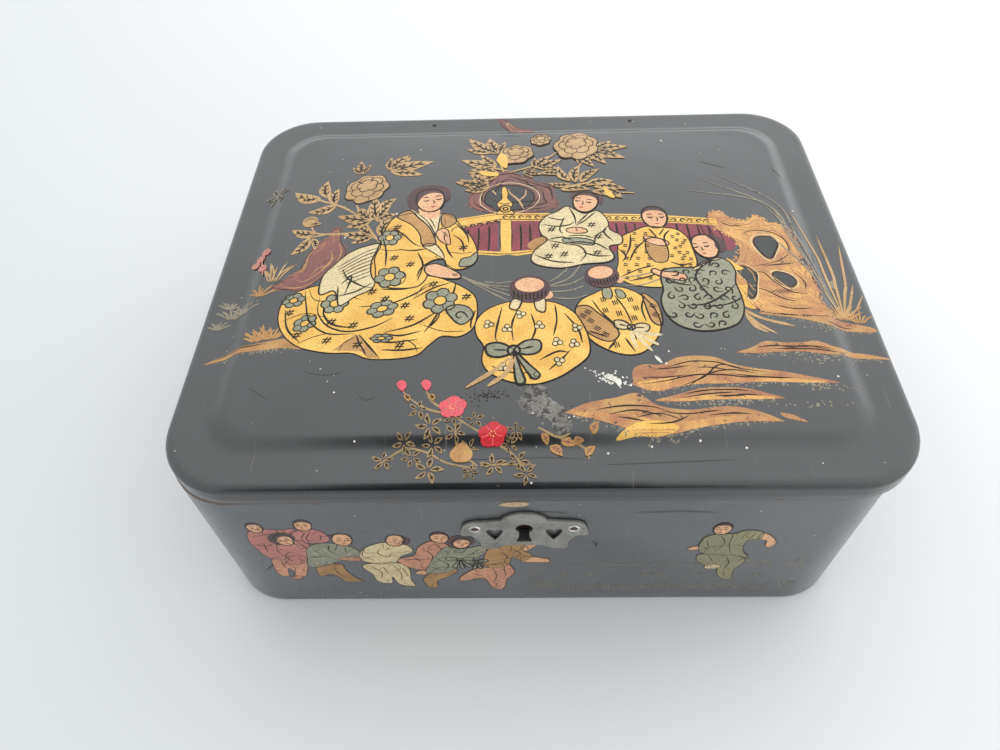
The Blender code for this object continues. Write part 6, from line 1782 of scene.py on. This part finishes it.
def puff(name, node, low, high, look, corners, steps, body, down=False, fillShare=0.6):
    points, faces, held = cushionMesh(low, high, corners, look["round"], steps, down)
    made = addMesh(name, points * mm, faces, [silk])
    shape = bmesh.new()
    shape.from_mesh(made.data)
    bmesh.ops.recalc_face_normals(shape, faces=shape.faces)
    shape.to_mesh(made.data)
    shape.free()
    grip = made.vertex_groups.new(name="held")
    grip.add(held.tolist(), 1.0, "REPLACE")
    cloth = made.modifiers.new("cloth", "CLOTH")
    for key, value in clothLook.items():
        setattr(cloth.settings, key, value)
    cloth.settings.shrink_min = -look["stretch"]
    cloth.settings.effector_weights.gravity = 0.0
    cloth.collision_settings.use_collision = False
    for number in range(1, clothFrames + 1):
        bpy.context.scene.frame_set(number)
    moved = np.empty(len(made.data.vertices) * 3)
    result = made.evaluated_get(bpy.context.evaluated_depsgraph_get()).to_mesh()
    result.vertices.foreach_get("co", moved)
    moved = moved.reshape(-1, 3) - points * mm
    length = np.hypot(np.hypot(moved[:, 0], moved[:, 1]), moved[:, 2])
    reach = look["limit"] * mm
    moved *= (reach * np.tanh(length / reach) / np.maximum(length, 1e-9))[:, None]
    made.modifiers.clear()
    made.data.vertices.foreach_set("co", (points * mm + moved).ravel())
    bpy.context.scene.frame_set(1)
    finer = made.modifiers.new("finer", "SUBSURF")
    finer.levels = finer.render_levels = 1
    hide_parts(node)
    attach(made, body)
    return made


def boxOf(node):
    low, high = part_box(node)
    return np.array(low) / mm, np.array(high) / mm


def buildSilk():
    for node, name, corners, steps in (("pad_left", "padLeft", (11, 1, 1, 11), (22, 46)),
            ("pad_middle", "padMiddle", (1, 1, 1, 1), (26, 46)),
            ("pad_right", "padRight", (1, 1, 11, 1), (26, 28))):
        puff(name, node, *boxOf(node), cushions["pad"], corners, steps, "tray")
    for k in range(1, 7):
        low, high = boxOf(f"ring_roll_{k}")
        puff(f"ringRoll{k}", f"ring_roll_{k}", low, high, cushions["roll"],
            (1, 9 if k == 1 else 1, 1, 1), (44, 18), "tray", fillShare=0.9)
    low, high = boxOf("lid_pad")
    low[2], high[2] = low[2] + 0.3, 85.0
    puff("lidPad", "lid_pad", low + (1.2, 1.2, 0), high - (1.2, 1.2, 0), cushions["lidPad"],
        (12, 12, 12, 12), (64, 52), "lid", down=True)
    low, high = boxOf("floor_pad")
    puff("floorPad", "floor_pad", low, high, cushions["pad"], (14, 14, 14, 14), (56, 46), "case",
        fillShare=0.4)


lining = {"roll": 0.65, "ripple": 0.10, "rows": 26}


def buildLining():
    # silk glued round the inside: a thin wall whose face ripples a little between its rolled edges
    low, high = boxOf("wall_lining")
    halfX, halfY, radius = high[0], high[1], case["corner"] - (caseHalfX - high[0])
    heights = np.concatenate([[low[2]], np.linspace(low[2] + 0.4, high[2] - 0.4, lining["rows"]),
        [high[2]]])
    rings = []
    base = roundedRing(halfX, halfY, radius, 10, (70, 56))
    run = np.linspace(0, 2 * math.pi, len(base), endpoint=False)
    for z in heights:
        rings.append(np.column_stack([base, np.full(len(base), z)]))
    for z in heights[::-1]:
        edge = 1 if heights[0] < z < heights[-1] else 0.5
        rise = math.sin(math.pi * (z - low[2]) / (high[2] - low[2]))
        ripple = lining["ripple"] * np.sin(37 * run + 0.05 * z) * np.sin(11 * run) * rise
        drawn = lining["roll"] * edge
        inner = roundedRing(halfX - drawn, halfY - drawn, radius - drawn, 10, (70, 56))
        way = inner - inner * (1 - 1 / np.hypot(inner[:, 0], inner[:, 1]))[:, None]
        rings.append(np.column_stack([inner - way * ripple[:, None], np.full(len(inner), z)]))
    stack = np.array(rings + rings[:1])
    rows, columns = len(rings), len(base)
    faces = np.array(gridFaces(rows + 1, columns, wrap=True))
    faces = np.where(faces >= rows * columns, faces - rows * columns, faces)
    made = addMesh("wallLining", stack[:-1].reshape(-1, 3) * mm, faces.tolist(), [silk])
    made.data.set_sharp_from_angle(angle=math.radians(60))
    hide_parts("wall_lining")
    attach(made, "case")


ribbon = {"half": 0.25, "edge": 0.3, "lean": 0.35}  # half thickness, share left at the edges, sway


def buildTab(node, name):
    # a ribbon folded double: up one side, round the top and down the other
    low, high = boxOf(node)
    middle = (low + high) / 2
    bend, thick = (high[0] - low[0]) / 2 - 0.3, ribbon["half"]
    turn = np.linspace(0, math.pi, 15)
    top = high[2] - bend - thick
    legs = np.linspace(low[2] + 0.1, top, 14)
    lean = ribbon["lean"] * np.sin(math.pi * (legs - legs[0]) / (legs[-1] - legs[0]))
    path = np.concatenate([np.stack([-bend + lean, legs], -1),
        np.stack([-bend * np.cos(turn), top + bend * np.sin(turn)], -1)[1:-1],
        np.stack([bend - lean[::-1], legs[::-1]], -1)])
    along = np.gradient(path, axis=0)
    out = np.stack([-along[:, 1], along[:, 0]], -1) / np.hypot(along[:, 0], along[:, 1])[:, None]
    width = np.linspace(-1, 1, 13)
    half = (high[1] - low[1]) / 2 - 0.1
    loops = []
    for side in (thick, -thick):
        edge = np.where(np.abs(width) > 0.99, ribbon["edge"], 1.0)
        px = middle[0] + path[:, None, 0] + out[:, None, 0] * side * edge
        pz = path[:, None, 1] + out[:, None, 1] * side * edge
        py = middle[1] + half * width[None] + 0 * px
        loops.append(np.stack([px, py, pz], -1))
    sheet = np.concatenate([loops[0], loops[1][:, ::-1]], 1)
    rows, columns = sheet.shape[:2]
    faces = gridFaces(rows, columns, wrap=True)
    faces += [list(range(columns))[::-1], list(range((rows - 1) * columns, rows * columns))]
    made = addMesh(name, sheet.reshape(-1, 3) * mm, faces, [silk])
    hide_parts(node)
    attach(made, "tray")


bodyOf = {node: "case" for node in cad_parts}
bodyOf.update({node: "lid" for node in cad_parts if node.startswith(("lid_",
    "link_")) or "_lid_" in node})
bodyOf.update({node: "tray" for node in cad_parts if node.startswith(("tray_f", "divider"))})
bodyOf["lock_bolt"] = "bolt"
buildSilk()
buildLining()
buildTab("lift_tab_left", "liftTabLeft")
buildTab("lift_tab_right", "liftTabRight")
print("silk ready")
for node, name in (("tray_frame", "trayFrame"), ("tray_floor", "trayFloor"),
        ("divider_left", "dividerLeft"), ("divider_right", "dividerRight"),
        ("divider_cross", "dividerCross")):
    bevelled(node, name, trayLacquer, 0.35)
bevelled("escutcheon", "lockPlate", nickel, 0.22)
for node, name, width in (("lock_case", "lockCase", 0.2), ("lock_cap", "lockCap", 0.2),
        ("lock_bolt", "lockBolt", 0.15), ("link_plate", "linkPlate", 0.15)):
    bevelled(node, name, steelSheet, width)
for side in ("left", "right"):
    for part in ("case_leaf", "lid_leaf"):
        bevelled(f"hinge_{side}_{part}", f"hinge{side.title()}{part.title().replace('_', '')}",
            brassSheet, 0.12)
    bevelled(f"tray_ledge_{side}", f"trayLedge{side.title()}", wood, 0.4)
bevelled("base_board", "baseBoard", caseLacquer, 0.3)


burr = {"radius": 1.62, "tube": 0.30, "around": 36, "across": 10}


def burrRing(name, node):
    # a hammered collar round a nail: r(a) = R + w sin(5a + p), tube radius 0.32
    low, high = boxOf(node)
    middle = (low + high) / 2
    a = np.linspace(0, 2 * math.pi, burr["around"], endpoint=False)[:, None]
    b = np.linspace(0, 2 * math.pi, burr["across"], endpoint=False)[None, :]
    tube = burr["tube"] + 0.07 * np.sin(3 * a + middle[0])
    radius = burr["radius"] + 0.10 * np.sin(5 * a + middle[0]) + tube * np.cos(b)
    points = np.stack([middle[0] + radius * np.cos(a), low[1] + 0.02 - tube * np.sin(b) + 0 * radius,
        middle[2] + radius * np.sin(a)], -1)
    stack = np.concatenate([points, points[:1]])
    total = burr["around"] * burr["across"]
    faces = np.array(gridFaces(burr["around"] + 1, burr["across"], wrap=True))
    faces = np.where(faces >= total, faces - total, faces)
    made = addMesh(name, stack[:-1].reshape(-1, 3) * mm, faces.tolist(), [brightMetal])
    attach(made, "case")


brightMetal = plainMetal("rubbedMetal", (0.78, 0.77, 0.73), (0.45, 0.43, 0.38), 0.28)
burrRing("burrRingLeft", "escutcheon_nail_left")
burrRing("burrRingRight", "escutcheon_nail_right")
print("hardware ready")


# studio: floor, surroundings and camera

# the floor's two colours are painted shade and painted light: a darker left and front, a paler right and
# back
studio = {"window": (0.62, 0.50, 0.60), "light": (1.05, 1.78), "shade": 0.96,
    "floorShadedSide": (0.60, 0.62, 0.635), "floorLitSide": (0.80, 0.80, 0.80), "floor": 3.0}


def buildFloor():
    size = studio["floor"]
    made = addMesh("floor", [(-size, -size, 0), (size, -size, 0), (size, size, 0), (-size, size, 0)],
        [(0, 1, 2, 3)], [])
    material, tree, shader, place = newMaterial("paleTable", Roughness=0.5)
    # painted light: the table's colour runs from darker at the left and front to paler at the right and
    # back, standing in for light that falls more strongly from the right and behind
    across = addNode(tree, "ShaderNodeVectorMath", {0: place, 1: (0.85, 0.45, 0.0)},
        operation="DOT_PRODUCT").outputs["Value"]
    cast = ranged(tree, across, -0.25, 0.22)
    tree.links.new(mixed(tree, cast, rgb(*studio["floorShadedSide"]), rgb(*studio["floorLitSide"])),
        shader.inputs["Base Color"])
    made.data.materials.append(material)


def buildWorld():
    # pale all round, brighter to the right and behind; someone standing in front is a dark upright shape
    world = bpy.data.worlds.new("studio")
    bpy.context.scene.world = world
    world.use_nodes = True
    tree = world.node_tree
    tree.nodes.clear()
    way = addNode(tree, "ShaderNodeTexCoord").outputs["Generated"]
    split = addNode(tree, "ShaderNodeSeparateXYZ", {0: way})
    side, depth, height = (split.outputs[k] for k in "XYZ")
    window = addNode(tree, "ShaderNodeVectorMath", {0: way, 1: Vector(studio["window"]).normalized()},
        operation="DOT_PRODUCT").outputs["Value"]
    level = ranged(tree, window, -0.3, 1.0, *studio["light"])
    off = maths(tree, "ADD", maths(tree, "ABSOLUTE", maths(tree, "ADD", side, 0.06)),
        maths(tree, "MULTIPLY", height, 0.20))
    person = maths(tree, "MULTIPLY", ranged(tree, off, 0.42, 0.27), ranged(tree, depth, -0.05, -0.28))
    level = maths(tree, "MULTIPLY", level, maths(tree, "SUBTRACT", 1.0,
        maths(tree, "MULTIPLY", person, studio["shade"])))
    seen = addNode(tree, "ShaderNodeLightPath").outputs["Is Camera Ray"]
    strength = addNode(tree, "ShaderNodeMix", {0: seen, 2: level, 3: 0.95}).outputs[0]
    glow = addNode(tree, "ShaderNodeBackground", {"Color": rgb(0.97, 0.99, 1.0), "Strength": strength})
    out = addNode(tree, "ShaderNodeOutputWorld")
    tree.links.new(glow.outputs[0], out.inputs[0])


def buildCamera():
    view = {"place": (-5.93, -210.78, 285.61), "pitch": 51.622, "yaw": -2.28, "roll": -2.497,
        "lens": 27.036}
    pitch, yaw, roll = (math.radians(view[k]) for k in ("pitch", "yaw", "roll"))
    ahead = Vector((math.sin(yaw) * math.cos(pitch), math.cos(yaw) * math.cos(pitch), -math.sin(pitch)))
    level = Vector((math.cos(yaw), -math.sin(yaw), 0))
    upright = level.cross(ahead)
    right = math.cos(roll) * level + math.sin(roll) * upright
    up = -math.sin(roll) * level + math.cos(roll) * upright
    camera = bpy.data.objects.new("camera", bpy.data.cameras.new("camera"))
    bpy.context.scene.collection.objects.link(camera)
    turn = Matrix((right, up, -ahead)).transposed().to_4x4()
    place = (Vector(view["place"]) + Vector((lidShift, 0, 0))) * mm
    camera.matrix_world = Matrix.Translation(place) @ turn
    camera.data.lens = view["lens"]
    camera.data.clip_start = 0.01
    bpy.context.scene.camera = camera
    bpy.context.scene.view_settings.view_transform = "Standard"


buildFloor()
buildWorld()
buildCamera()
print("scene ready")
